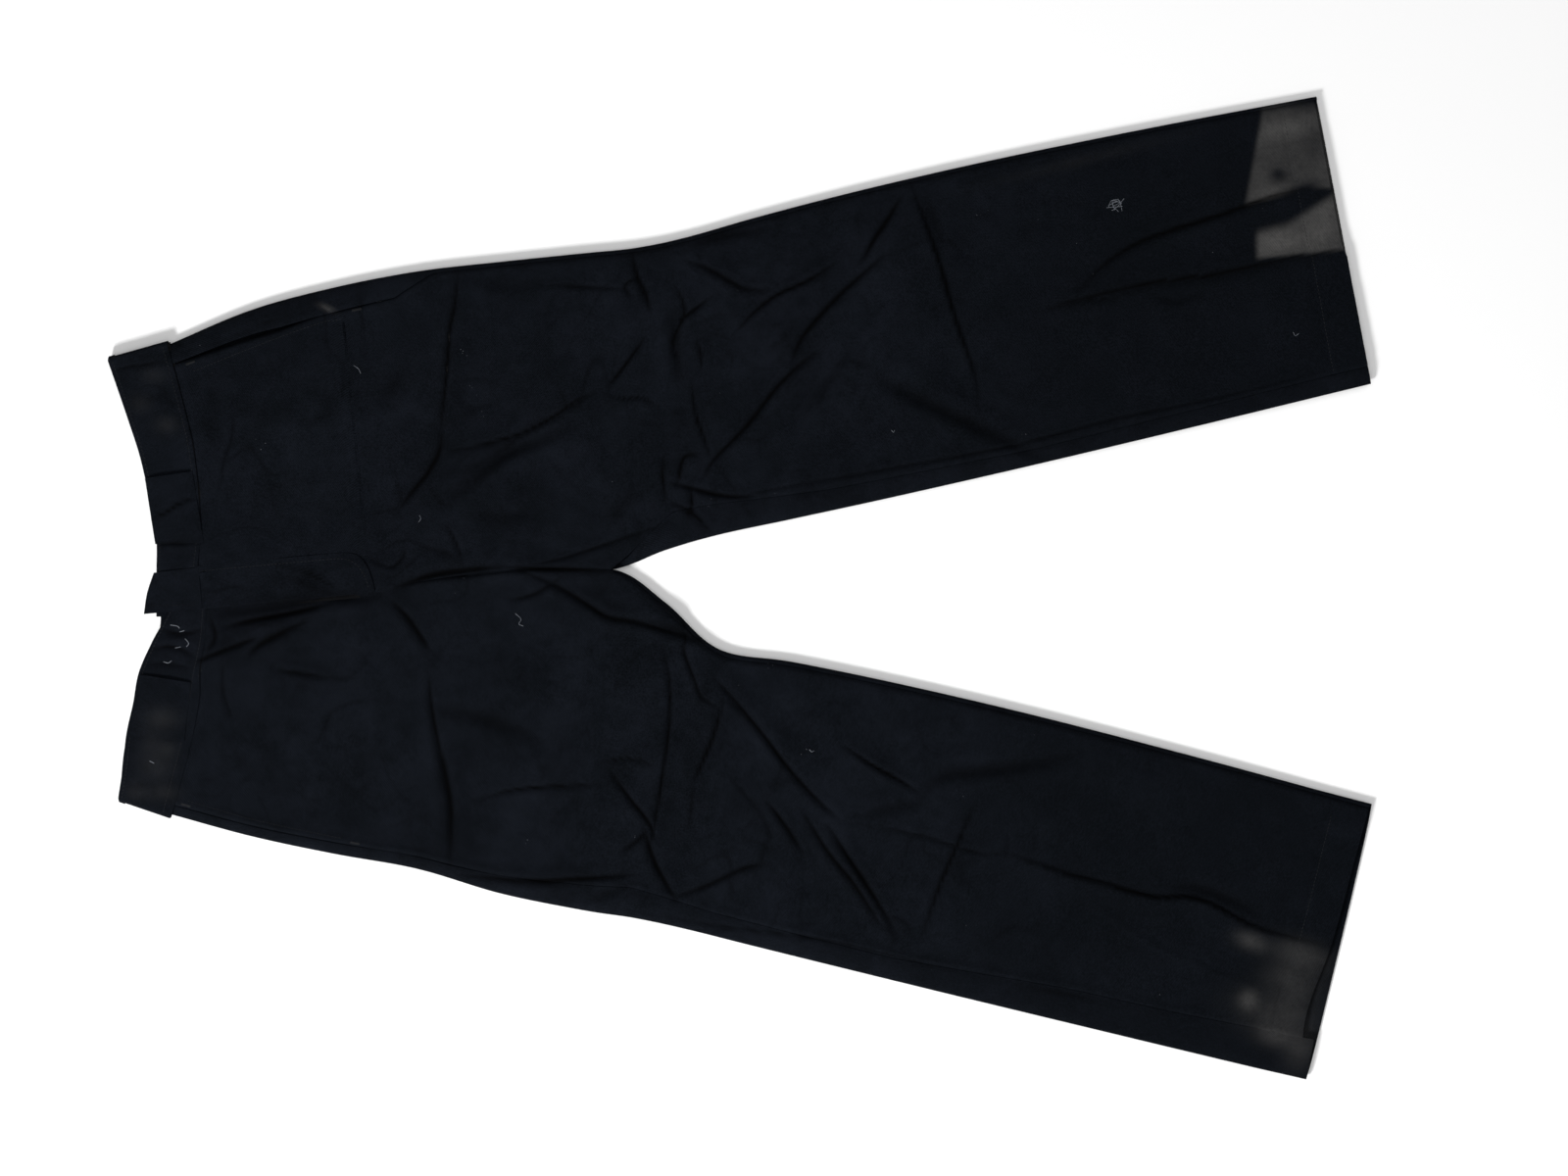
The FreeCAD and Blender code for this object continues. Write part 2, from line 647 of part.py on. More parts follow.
def side_pocket(side):
    """A bag behind the side seam: two cloth layers and the seam that closes them."""
    top, bottom = "mouth_start * 0.4", "bag_end"
    edge = "seam_width + fit_gap"
    points = [side_point(side, top, edge), side_point(side, "mouth_end", edge),
              side_point(side, bottom, "bag_corner"), side_point(side, bottom, "bag_width"),
              side_point(side, top, "bag_width")]
    layer(f"side_pocket_bag_back_{side}", points, "bag_z", "pocketing")
    layer(f"side_pocket_bag_front_{side}", points, "bag_top_z", "pocketing")
    inner = "bag_width - seam_width"
    wall = [side_point(side, top, "bag_width"), side_point(side, top, inner),
            side_point(side, f"{bottom} - seam_width", inner),
            side_point(side, f"{bottom} - seam_width", "bag_corner"),
            side_point(side, bottom, "bag_corner"), side_point(side, bottom, "bag_width")]
    layer(f"side_pocket_bag_seam_{side}", wall, "bag_z + pocketing", "clear_height")


def back_pocket_box(side, down, length, inset, width):
    sign = SIDES[side]
    return fly_box(down, f"{sign} * ({inset})", length, f"{sign} * ({width})")


def back_pocket(side):
    """A welt over the slit in the back panel, and its flat bag."""
    layer(f"back_pocket_welt_{side}",
          back_pocket_box(side, "welt_drop - 2", "welt_height", "welt_inset - 3", "welt_length + 6"),
          "welt_z", "twill")
    layer(f"back_pocket_bag_{side}",
          back_pocket_box(side, "welt_drop - 10", "back_bag_depth", "welt_inset - 3", "welt_length + 6"),
          "back_bag_z", "2 * pocketing")


def button_centre(side):
    sign = SIDES[side]
    return fly_point("welt_drop + (welt_height - 4) / 2", f"{sign} * (welt_inset + welt_length / 2)")


def back_buttons():
    """One four-hole button in each back pocket's mouth, sewn to the welt."""
    members = []
    for side in SIDES:
        body = doc.addObject("PartDesign::Body", "Member")
        pad(body, circle(body, button_centre(side), "button_diameter / 2", "fit_gap"), "button_thickness")
        centre = button_centre(side)
        for dx, dy in ((1, 1), (1, -1), (-1, 1), (-1, -1)):
            place = (f"{centre[0]} + {dx} * thread_spread", f"{centre[1]} + {dy} * thread_spread")
            hole = circle(body, place, "thread_hole", "fit_gap")
            cut(body, hole, "button_thickness")
        members.append(body)
    compound = doc.addObject("Part::Compound", "Group_buttons")
    compound.Label = "back_pocket_buttons"
    compound.Links = members
    PIECES.append(compound)


def bar_tacks():
    """Dense stitches that hold the welts' ends and the side pockets' lower ends."""
    solids = []
    for side in SIDES:
        for inset in ("welt_inset - 3", "welt_inset + welt_length + 1"):
            box = back_pocket_box(side, "welt_drop", "welt_height - 4", inset, "tack_width")
            solids.append((box, "twill", "welt_z - twill"))
        start, end = "mouth_end + tack_width", "mouth_end + tack_width + tack_length"
        near, far = "0.5", "0.5 + tack_width"
        tack = [side_point(side, start, near), side_point(side, end, near),
                side_point(side, end, far), side_point(side, start, far)]
        solids.append((tack, "twill", "front_z - twill"))
    group("bar_tacks", solids)


def make_all():
    for side in SIDES:
        back_panel(side)
        front_panel(side)
        seams(side)
        hems(side)
        front_loop(side)
        side_pocket(side)
        back_pocket(side)
    rise_seams()
    waistband()
    band_side_seams()
    back_loops()
    tab()
    flap()
    shield()
    zip_tapes()
    zip_row("left", "row_end")
    zip_row("right", "zip_end")
    zip_stops()
    zip_slider()
    zip_pull()
    hook_and_bar()
    back_buttons()
    bar_tacks()


def check_all():
    doc.recompute()
    for item in doc.Objects:
        if "Invalid" in item.State or "Error" in item.State:
            raise ValueError(f"{item.Label}: {item.State}")
    for piece in PIECES:
        if piece.Shape.isNull() or not piece.Shape.isValid() or piece.Shape.Volume <= 0:
            raise ValueError(f"{piece.Label}: bad shape")


make_all()
check_all()
os.makedirs("parts", exist_ok=True)
for piece in PIECES:
    piece.Shape.exportStep(f"parts/{piece.Label}.step")
print(len(PIECES), "pieces")
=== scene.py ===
# %% [markdown]
# # Work trousers, laid flat
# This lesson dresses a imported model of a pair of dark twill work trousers. The model knows where each
# piece is and how the fly, the zip slider and its pull move. Here the plain flat layers are replaced by
# real-looking cloth, and the small metal parts get their finishes.
#
# Lengths are written in millimetres, as on a pattern, and become metres when a mesh is laid.

# %% Load the frame
import bmesh
import bpy
import math
import numpy as np
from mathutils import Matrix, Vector


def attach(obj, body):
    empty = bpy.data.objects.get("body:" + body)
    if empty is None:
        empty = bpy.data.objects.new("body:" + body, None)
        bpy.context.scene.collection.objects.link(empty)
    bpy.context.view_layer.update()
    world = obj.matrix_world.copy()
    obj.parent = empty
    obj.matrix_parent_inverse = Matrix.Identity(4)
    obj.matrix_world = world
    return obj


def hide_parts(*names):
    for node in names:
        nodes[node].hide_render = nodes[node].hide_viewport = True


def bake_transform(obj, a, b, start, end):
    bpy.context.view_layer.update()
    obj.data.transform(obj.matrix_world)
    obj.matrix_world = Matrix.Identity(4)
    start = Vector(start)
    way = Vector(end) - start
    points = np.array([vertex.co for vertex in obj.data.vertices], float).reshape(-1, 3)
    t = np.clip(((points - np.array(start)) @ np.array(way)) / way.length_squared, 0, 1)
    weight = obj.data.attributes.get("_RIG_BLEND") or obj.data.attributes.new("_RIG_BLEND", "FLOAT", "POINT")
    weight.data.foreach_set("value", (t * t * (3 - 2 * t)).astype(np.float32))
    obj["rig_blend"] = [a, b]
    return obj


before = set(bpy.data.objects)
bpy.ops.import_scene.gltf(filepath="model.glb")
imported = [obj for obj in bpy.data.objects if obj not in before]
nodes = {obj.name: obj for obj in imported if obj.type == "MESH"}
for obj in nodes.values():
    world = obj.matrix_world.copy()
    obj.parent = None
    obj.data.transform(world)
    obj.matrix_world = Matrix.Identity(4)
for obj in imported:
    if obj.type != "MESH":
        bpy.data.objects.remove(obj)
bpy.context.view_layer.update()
MM = 0.001

# %% [markdown]
# ## Seams as lines
# A trouser leg is two long panels. Each panel edge is a smooth line through a few stations that a cutter
# would mark: waist, hip, crotch, knee, hem. The corners come from the CAD panels, and a named bow pushes
# each stretch between them out or in. A Catmull-Rom curve runs through every station. Each inner station
# has an outer partner, and a leg is ruled between the two.

# %% Smooth lines and the leg stations
def smooth_line(points, count):
    """count places along a curve through the points, evenly shared between them."""
    p = np.array(points, float)
    p = np.vstack([2 * p[0] - p[1], p, 2 * p[-1] - p[-2]])
    u = np.linspace(0, len(points) - 1, count)
    i = np.minimum(u.astype(int), len(points) - 2)
    f = (u - i)[:, None]
    a, b, c, d = p[i], p[i + 1], p[i + 2], p[i + 3]
    return 0.5 * (2 * b + (c - a) * f + (2 * a - 5 * b + 4 * c - d) * f ** 2 + (3 * b - a - 3 * c + d) * f ** 3)


def smoothstep(low, high, value):
    f = np.clip((value - low) / (high - low), 0, 1)
    return f * f * (3 - 2 * f)


SIGN = {"left": 1, "right": -1}
OUTER_BOWS = {"left": (10, 0, 9), "right": (4, 6, 1)}   # waist to hip, hip to thigh, thigh to hem
INNER_BOWS = {"left": (-2, 3), "right": (6, 8)}         # crotch to thigh, thigh to hem
RISE_BOW = 8                                            # how far the cloth swells along the front rise
NOTCH_ROOM = 2.5                                        # the left front clears the swinging zip pull
OUTER_LEAD = 25                                         # outer stations stand this much nearer the waist
LEG_SHARES = np.array([0.07, 0.14, 0.24, 0.38, 0.56, 0.78, 1.0])


def corners(node):
    """The corners of a CAD layer's upper face, in millimetres, from the waist down."""
    obj = bpy.data.objects[node]
    points = [obj.matrix_world @ v.co for v in obj.data.vertices]
    top = max(point.z for point in points)
    return sorted({(round(q.x / MM, 1), round(q.y / MM, 1)) for q in points if top - q.z < 0.2 * MM})


def bowed(line, bows, way, x):
    """y at x along straight stretches, each pushed sideways by its bow."""
    across = [corner[0] for corner in line]
    y = np.interp(x, across, [corner[1] for corner in line])
    for start, end, bow in zip(across, across[1:], bows):
        y = y + way * bow * np.sin(math.pi * np.clip((x - start) / (end - start), 0, 1) ** 0.8)
    return y


def beside_centre(node):
    """The corner of the waist seam that is nearest to the front line."""
    return min((q for q in corners(node) if q[0] < WAIST_BELOW), key=lambda q: abs(q[1]))


WAIST_BELOW = -460
CENTRE_TOP = beside_centre("back_panel_left")
CROTCH_CORNER = min((q for q in corners("front_panel_left") if q[0] > -200), key=lambda q: q[0])
CENTRE = [tuple(q) for q in np.linspace(CENTRE_TOP, CROTCH_CORNER, 6)]
FLAP_END = [corners("fly_flap")[k] for k in (2, 4, 5, 7)]
FLAP_END[1:] = [(x + NOTCH_ROOM, y) for x, y in FLAP_END[1:]]
rise_start = np.array(FLAP_END[-1])
rise_way = np.array(CROTCH_CORNER) - rise_start
RISE = [tuple(rise_start + rise_way * share + (0, RISE_BOW * math.sin(math.pi * share))) for share in (1 / 3,
                                                            2 / 3)]
trunk = {
    "left": [beside_centre("front_panel_left")] + FLAP_END + RISE + [CROTCH_CORNER],
    "right": [beside_centre("front_panel_right"), (-394, -3), (-319, 4.3)] + RISE + [CROTCH_CORNER],
}
INNER_FRONT, INNER_BACK, OUTER_FRONT, OUTER = {}, {}, {}, {}
for side, sign in SIGN.items():
    panel = corners(f"front_panel_{side}")
    outside = sorted(sorted(panel, key=lambda q: -sign * q[1])[:4])
    inside = [q for q in panel if q[0] >= CROTCH_CORNER[0] and q not in outside]
    leg_x = CROTCH_CORNER[0] + (inside[-1][0] - CROTCH_CORNER[0]) * LEG_SHARES
    leg = list(zip(leg_x, bowed(inside, INNER_BOWS[side], -sign, leg_x)))
    beside_crotch = CROTCH_CORNER[0] - OUTER_LEAD
    low_x = beside_crotch + (outside[-1][0] - beside_crotch) * LEG_SHARES
    for inner, outer, body_line in ((INNER_FRONT, OUTER_FRONT, trunk[side]), (INNER_BACK, OUTER, CENTRE)):
        start, end = body_line[0][0], body_line[-1][0]
        high_x = np.interp([q[0] for q in body_line], [start, end], [outside[0][0], beside_crotch])
        outer_x = np.concatenate([high_x, low_x])
        inner[side] = body_line + leg
        outer[side] = list(zip(outer_x, bowed(outside, OUTER_BOWS[side], sign, outer_x)))
print("stations:", {side: len(points) for side, points in OUTER_FRONT.items()})

# %% [markdown]
# ## How high the cloth stands
# Laid flat, a leg is a low pillow: its edges roll round a few millimetres above the table and the top is
# almost level. The roll is an ellipse, steep at the edge and level inside. Above the crotch the inner
# edges are sewn together, so the roll fades out there.

# %% Pillow profile
CROTCH = np.array(CROTCH_CORNER)
EDGE_Z = 4.0
TOP_AT = ([-520, -467, -300, -110, 0, 250, 420, 550], [10.4, 10.6, 10.2, 11.0, 10.4, 9.2, 8.2, 7.2])


def top_level(x):
    return np.interp(x, *TOP_AT)


def roll(distance, radius):
    """0 at the edge, 1 from one radius in."""
    near = 1 - np.clip(distance, 0, radius) / radius
    return np.sqrt(np.clip(1 - near ** 2, 0, 1))


def inner_distance(x, distance):
    """Above the crotch there is no inner edge to roll over."""
    return np.sqrt(distance ** 2 + np.clip(CROTCH[0] + 12 - x, 0, None) ** 2)

# %% [markdown]
# ## Folds and wrinkles
# The trousers were folded, worn and dropped, and the creases of each show. A fold is drawn as a line of
# a few points with a height and a width, as an artist would draw it, and the cloth rises or sinks by its
# distance from that line. Four kinds are enough: a ridge, a sunk crease with soft shoulders, a sharp
# pressed fold, and a lip where one side lies over the other.

# %% Wrinkle strokes
def stroke(kind, height, width, *points):
    return kind, height, width, smooth_line(points, 4 * (len(points) - 1) + 1)


STROKES = [
    # left leg, front of the knee: pressed-in folds that fan out from the outseam
    stroke("crease", 2.6, 3.4, (141, 341), (128, 320), (116, 302), (105, 282)),
    stroke("crease", 2.8, 3.2, (130, 293), (107, 273), (85, 253), (61, 227), (51, 212), (45, 195)),
    stroke("crease", 2.6, 2.8, (70, 206), (51, 193), (30, 172), (6, 141), (-22, 112), (-33, 94)),
    stroke("crease", 1.9, 2.4, (87, 285), (61, 268), (33, 255), (12, 239), (-5, 221)),
    stroke("crease", 1.8, 2.6, (-48, 285), (-28, 277), (-10, 267), (6, 259), (26, 258)),
    stroke("crease", 1.4, 2.0, (-42, 181), (-39, 154), (-31, 129), (-25, 111)),
    stroke("crease", 1.3, 2.0, (-39, 216), (-34, 203), (-34, 189)),
    stroke("crease", 1.6, 2.6, (-26, 252), (-43, 239), (-57, 230)),
    stroke("crease", 1.8, 2.4, (-82, 218), (-100, 193), (-116, 173)),
    stroke("crease", 1.2, 2.2, (-117, 168), (-100, 164), (-85, 165), (-68, 154)),
    stroke("crease", 1.8, 2.8, (-94, 293), (-89, 270), (-82, 255), (-78, 239)),
    stroke("hollow", 2.0, 6.0, (-57, 246), (-56, 209), (-52, 176)),
    stroke("hollow", 1.7, 5.0, (22, 312), (-19, 305), (-48, 296)),
    stroke("crease", 1.8, 2.6, (-36, 117), (-48, 114), (-52, 102), (-54, 88)),
    stroke("hollow", 1.0, 5.0, (97, 209), (85, 190), (67, 166), (45, 138)),
    stroke("hollow", 0.8, 4.0, (48, 233), (36, 215), (24, 203)),
    stroke("hollow", 2.3, 7.0, (120, 182), (134, 175), (162, 161), (189, 148), (217, 135), (241, 123),
           (266, 110)),
    stroke("ridge", 1.6, 9.0, (128, 204), (150, 190), (180, 172), (210, 152)),
    stroke("lip", 1.5, 5.0, (206, 166), (200, 193), (186, 233), (172, 282), (159, 319), (147, 350)),
    stroke("hollow", 1.3, 7.0, (158, 340), (168, 320), (176, 296)),
    stroke("ridge", 1.2, 12.0, (20, 270), (50, 290), (80, 312)),
    stroke("ridge", 1.4, 10.0, (0, 190), (30, 215), (62, 246)),
    stroke("ridge", 1.3, 12.0, (10, 110), (40, 140), (74, 176)),
    stroke("crease", 1.4, 2.4, (-66, 116), (-67, 98), (-64, 74)),
    stroke("hollow", 1.4, 8.0, (-90, 88), (-102, 72), (-114, 56)),
    stroke("ridge", 1.5, 6.0, (-46, 150), (-42, 120), (-40, 96)),
    stroke("crease", 1.6, 2.4, (-58, 74), (-40, 64), (-26, 48)),
    stroke("crease", 1.8, 2.6, (-62, 92), (-40, 86), (-14, 80), (12, 79)),
    stroke("crease", 1.5, 2.4, (-48, 58), (-42, 72), (-44, 88)),
    stroke("hollow", 1.5, 5.0, (-96, 320), (-74, 317), (-48, 318)),
    stroke("crease", 1.6, 2.4, (-56, 262), (-48, 240), (-58, 214), (-50, 190)),
    stroke("crease", 1.2, 2.2, (-86, 272), (-100, 262), (-92, 250)),
    # left shin and hem
    stroke("lip", 2.8, 7.0, (258, 240), (289, 249), (330, 261), (378, 269), (411, 273), (451, 281),
           (492, 290), (530, 296)),
    stroke("crease", 2.0, 3.2, (293, 257), (314, 279), (342, 298), (378, 312), (411, 322), (439, 332),
           (468, 342), (494, 347)),
    stroke("hollow", 1.0, 4.0, (354, 256), (378, 249), (404, 257)),
    stroke("crease", 1.0, 2.2, (268, 244), (292, 250), (330, 250)),
    # left thigh and hip
    stroke("crease", 1.7, 2.4, (-245, 276), (-247, 249), (-252, 223), (-254, 192), (-257, 163), (-260, 135)),
    stroke("crease", 2.0, 3.4, (-258, 140), (-261, 119), (-271, 100), (-284, 84), (-298, 66)),
    stroke("crease", 1.6, 2.4, (-254, 118), (-220, 125), (-188, 135), (-160, 150), (-141, 163), (-120, 172)),
    stroke("hollow", 2.2, 7.0, (-258, 74), (-230, 93), (-204, 115), (-173, 128), (-145, 142)),
    stroke("hollow", 1.6, 6.0, (-243, 98), (-215, 112), (-180, 140), (-150, 152)),
    stroke("ridge", 1.6, 8.0, (-240, 84), (-210, 104), (-176, 120), (-140, 130)),
    stroke("crease", 1.2, 2.2, (-255, 56), (-247, 40), (-240, 22)),
    stroke("hollow", 1.1, 10.0, (-284, 198), (-303, 173), (-316, 155)),
    stroke("ridge", 1.0, 16.0, (-330, 190), (-345, 140), (-350, 90)),
    stroke("ridge", 0.9, 14.0, (-270, 190), (-290, 150), (-300, 115)),
    stroke("crease", 1.1, 2.2, (-318, 24), (-303, 18), (-293, 26), (-291, 35)),
    stroke("hollow", 1.0, 7.0, (-170, 70), (-205, 60), (-236, 66)),
    stroke("crease", 1.1, 2.6, (-166, 263), (-135, 261), (-98, 259)),
    stroke("hollow", 0.9, 8.0, (-235, 268), (-200, 262), (-160, 266)),
    # below the left waist
    stroke("crease", 0.8, 2.4, (-439, 154), (-441, 131), (-448, 109), (-450, 88)),
    stroke("ridge", 0.8, 5.0, (-432, 170), (-434, 130), (-441, 96)),
    stroke("hollow", 0.7, 8.0, (-452, 190), (-458, 150), (-456, 110)),
    # front rise, from the fly to the crotch
    stroke("crease", 3.0, 4.4, (-300, 0), (-284, 6), (-265, 12), (-242, 15), (-223, 17), (-200, 18)),
    stroke("crease", 1.8, 3.0, (-205, 18), (-180, 17), (-140, 16), (-112, 15)),
    stroke("hollow", 1.6, 5.0, (-395, 11), (-376, 3), (-353, -6), (-332, -9), (-303, -4)),
    stroke("crease", 1.2, 2.4, (-402, 21), (-380, 15), (-363, 7), (-348, -3)),
    stroke("crease", 1.2, 2.2, (-188, 19), (-157, 25), (-125, 35), (-93, 46), (-62, 56)),
    # wedge of folds beside the fly, on the right front
    stroke("hollow", 2.6, 7.0, (-462, -20), (-424, -19), (-390, -14), (-350, -8), (-320, -4)),
    stroke("crease", 2.2, 3.6, (-446, -34), (-424, -28), (-387, -21), (-356, -13)),
    stroke("crease", 2.0, 3.6, (-428, -60), (-415, -48), (-398, -39), (-374, -27)),
    stroke("crease", 1.7, 2.8, (-473, -65), (-460, -59), (-432, -48), (-419, -43)),
    stroke("crease", 1.3, 2.4, (-404, -71), (-381, -74), (-358, -78)),
    stroke("crease", 1.5, 2.6, (-460, -25), (-455, -42), (-463, -57)),
    stroke("crease", 0.9, 2.2, (-448, -64), (-448, -91), (-440, -114)),
    stroke("ridge", 1.0, 5.0, (-440, -44), (-420, -36), (-396, -30)),
    stroke("crease", 1.9, 3.2, (-303, -11), (-289, -25), (-278, -41), (-269, -54)),
    # crotch, right side
    stroke("crease", 2.2, 3.2, (-200, 19), (-160, 2), (-133, -14), (-115, -25), (-92, -29), (-60, -38),
           (-26, -48)),
    stroke("crease", 1.3, 2.6, (-201, -11), (-178, -5), (-154, 10)),
    stroke("hollow", 2.0, 5.0, (-84, -28), (-56, -36), (-26, -46)),
    stroke("crease", 1.3, 2.4, (-51, -22), (-47, -42), (-49, -54), (-40, -79), (-33, -95), (-16, -105)),
    stroke("ridge", 1.4, 6.0, (-92, -14), (-70, -24), (-46, -34)),
    # right thigh
    stroke("crease", 1.5, 2.8, (-270, -74), (-268, -102), (-262, -134), (-256, -160)),
    stroke("crease", 2.6, 4.2, (-262, -134), (-256, -161), (-251, -193), (-252, -240)),
    stroke("hollow", 1.4, 7.0, (-269, -102), (-233, -111), (-196, -122), (-169, -138)),
    stroke("crease", 1.6, 2.2, (-67, -50), (-61, -84), (-62, -120), (-67, -161), (-73, -197), (-81, -240)),
    stroke("crease", 1.7, 2.4, (-15, -97), (-22, -125), (-33, -152), (-41, -169)),
    stroke("crease", 1.4, 2.4, (-228, -184), (-196, -175), (-160, -172), (-119, -170)),
    stroke("crease", 1.1, 2.2, (-124, -152), (-97, -148), (-74, -154)),
    stroke("crease", 1.8, 2.6, (-115, -156), (-97, -181), (-79, -204), (-74, -220)),
    stroke("crease", 2.0, 3.2, (-84, -206), (-74, -238), (-55, -272)),
    stroke("crease", 1.5, 2.6, (-104, -230), (-88, -218), (-80, -208)),
    stroke("crease", 1.7, 2.6, (-56, -268), (-24, -256), (3, -243), (24, -239)),
    stroke("crease", 1.9, 3.2, (-242, -249), (-183, -254), (-137, -252), (-83, -248)),
    stroke("hollow", 1.3, 5.0, (-135, -270), (-110, -264), (-88, -252)),
    stroke("ridge", 1.4, 12.0, (-230, -150), (-180, -150), (-140, -160)),
    stroke("ridge", 1.2, 14.0, (-330, -120), (-300, -150), (-290, -190)),
    stroke("ridge", 1.0, 14.0, (-200, -60), (-160, -90), (-120, -100)),
    # right knee and shin
    stroke("crease", 2.0, 2.8, (-22, -78), (-1, -102), (21, -129), (44, -159), (67, -184), (86, -201)),
    stroke("ridge", 1.4, 7.0, (-12, -76), (14, -104), (40, -136), (66, -166)),
    stroke("crease", 1.7, 2.2, (89, -136), (112, -152), (135, -165), (157, -179)),
    stroke("hollow", 2.2, 6.5, (152, -182), (175, -164), (212, -158), (248, -154), (295, -143)),
    stroke("hollow", 1.2, 6.0, (94, -202), (121, -193), (148, -188), (163, -178)),
    stroke("ridge", 1.6, 9.0, (150, -150), (185, -143), (225, -136)),
    stroke("lip", 1.6, 4.0, (205, -187), (189, -224), (173, -261), (158, -306)),
    stroke("crease", 1.8, 2.6, (23, -185), (39, -206), (53, -228)),
    stroke("crease", 1.8, 2.8, (53, -192), (76, -229), (98, -256), (124, -296)),
    stroke("crease", 2.2, 3.0, (76, -206), (94, -234), (112, -261), (137, -302)),
    stroke("crease", 1.0, 2.2, (-40, -172), (-42, -190), (-44, -206)),
    stroke("crease", 0.9, 2.2, (89, -202), (157, -215), (203, -229), (232, -231)),
    stroke("lip", 1.6, 6.0, (512, -311), (470, -302), (440, -292), (413, -277), (389, -269), (359, -269),
           (322, -259),
           (288, -250), (258, -240), (231, -230)),
    stroke("hollow", 1.8, 6.0, (372, -261), (395, -260), (424, -270), (452, -284)),
    stroke("ridge", 0.7, 3.0, (292, -260), (319, -284), (356, -309), (389, -324), (423, -338), (460, -351)),
    stroke("crease", 0.7, 2.2, (233, -213), (230, -234)),
    # the seams pull thin lines into the cloth
    stroke("crease", 0.8, 1.7, (-496, 200), (-458, 212), (-426, 224), (-395, 236), (-357, 246), (-328, 254)),
    stroke("crease", 0.9, 1.7, (174, -329), (221, -339), (288, -353), (355, -366), (423, -381), (486, -392)),
    stroke("crease", 0.9, 1.7, (-97, -279), (-40, -290), (12, -297), (67, -304), (120, -316), (174, -329)),
    stroke("crease", 0.9, 1.7, (-30, 74), (40, 88), (120, 102), (208, 118), (261, 130), (330, 148),
           (390, 160),
           (451, 174), (510, 190)),
    # the crumpled end of the right band
    stroke("crease", 1.4, 2.8, (-502, -36), (-484, -40), (-466, -36)),
    stroke("crease", 1.3, 2.6, (-512, -54), (-492, -51), (-472, -60)),
    stroke("ridge", 1.1, 3.4, (-508, -46), (-490, -45), (-470, -48)),
    stroke("crease", 1.0, 2.4, (-514, -66), (-494, -66), (-476, -70)),
    stroke("crease", 1.6, 2.2, (-509, 60), (-496, 66), (-486, 73), (-473, 77)),
    stroke("crease", 1.3, 2.0, (-507, 38), (-488, 39), (-466, 41)),
    stroke("crease", 1.0, 2.0, (-545, 188), (-528, 192), (-514, 194), (-496, 197)),
    stroke("hollow", 0.6, 5.0, (-530, 170), (-510, 165), (-494, 172)),
]
SHADE_OF = {"crease": 1.0, "hollow": 0.6, "lip": 0.85, "ridge": 0.0}


def line_distance(x, y, line):
    """Distance to the line, its side (+1 left of the line's direction), and the share run along it."""
    best = np.full(x.shape, 1e9)
    side = np.zeros(x.shape)
    along = np.zeros(x.shape)
    for k in range(len(line) - 1):
        (ax, ay), (bx, by) = line[k], line[k + 1]
        dx, dy = bx - ax, by - ay
        f = np.clip(((x - ax) * dx + (y - ay) * dy) / (dx * dx + dy * dy), 0, 1)
        px, py = x - ax - f * dx, y - ay - f * dy
        d = np.hypot(px, py)
        nearer = d < best
        best = np.where(nearer, d, best)
        side = np.where(nearer, np.sign(dx * py - dy * px), side)
        along = np.where(nearer, (k + f) / (len(line) - 1), along)
    return best, side, along


def crumple(x, y):
    """Faint small creases from being folded away: narrow lines where slow waves cross their middle."""
    lines = np.exp(-(ripple(x, y, 51, 40, 130) / 0.07) ** 2) * np.clip(ripple(x, y, 52, 70, 200) * 1.4, 0, 1)
    more = np.exp(-(ripple(x, y, 53, 26, 90) / 0.09) ** 2) * np.clip(ripple(x, y, 54, 60, 160) * 1.4, 0, 1)
    shin = smoothstep(180, 330, x)
    return np.clip(lines + 0.7 * more, 0, 1) * (1 - 0.75 * shin)


def near_strokes(x, y):
    """Each stroke with the places near it: distance, side, and its fade towards both ends."""
    for kind, height, width, line in STROKES:
        low, high = line.min(0) - 4 * width, line.max(0) + 4 * width
        near = (x > low[0]) & (x < high[0]) & (y > low[1]) & (y < high[1])
        if near.any():
            d, side, along = line_distance(x[near], y[near], line)
            yield kind, height, width, near, d, side, np.sin(np.pi * np.clip(along, 0.02, 0.98)) ** 0.55


def wrinkles(x, y):
    """Height that the folds add at each place."""
    total = crumple(x, y) * -0.35
    for kind, height, width, near, d, side, fade in near_strokes(x, y):
        if kind == "ridge":
            rise = np.exp(-(d / width) ** 2)
        elif kind == "crease":
            rise = 0.45 * np.exp(-((d - 2.2 * width) / (1.5 * width)) ** 2) - np.exp(-(d / (0.7 * width)) ** 2)
        elif kind == "hollow":
            rise = 0.3 * np.exp(-((d - 1.8 * width) / width) ** 2) - np.exp(-(d / (0.8 * width)) ** 2)
        else:
            over = smoothstep(-0.16 * width, 0.16 * width, side * d) * np.exp(-(d / (1.9 * width)) ** 2)
            under = np.exp(-((d - 0.4 * width) / (0.5 * width)) ** 2) * (side < 0)
            rise = over - 0.5 * under
        total[near] += height * fade * rise
    return total


def shade_map(x, y):
    """How dark the bottoms of the folds are: no light reaches down between their sides."""
    total = 0.42 * crumple(x, y)
    for kind, height, width, near, d, side, fade in near_strokes(x, y):
        strength = SHADE_OF[kind] * min(1, height / 1.7) * fade
        if kind == "lip":
            core = np.exp(-((d - 1.0) / 1.9) ** 2) * np.where(side < 0, 1.0, 0.5)
            core = core + 0.35 * np.exp(-(d / (1.1 * width)) ** 2) * (side < 0)
        elif kind == "crease":
            core = np.exp(-(d / (0.55 * width)) ** 2) + 0.25 * np.exp(-(d / (1.6 * width)) ** 2)
        else:
            core = np.exp(-(d / (0.9 * width)) ** 2)
        total[near] = np.maximum(total[near], strength * core)
    return np.clip(total, 0, 1)


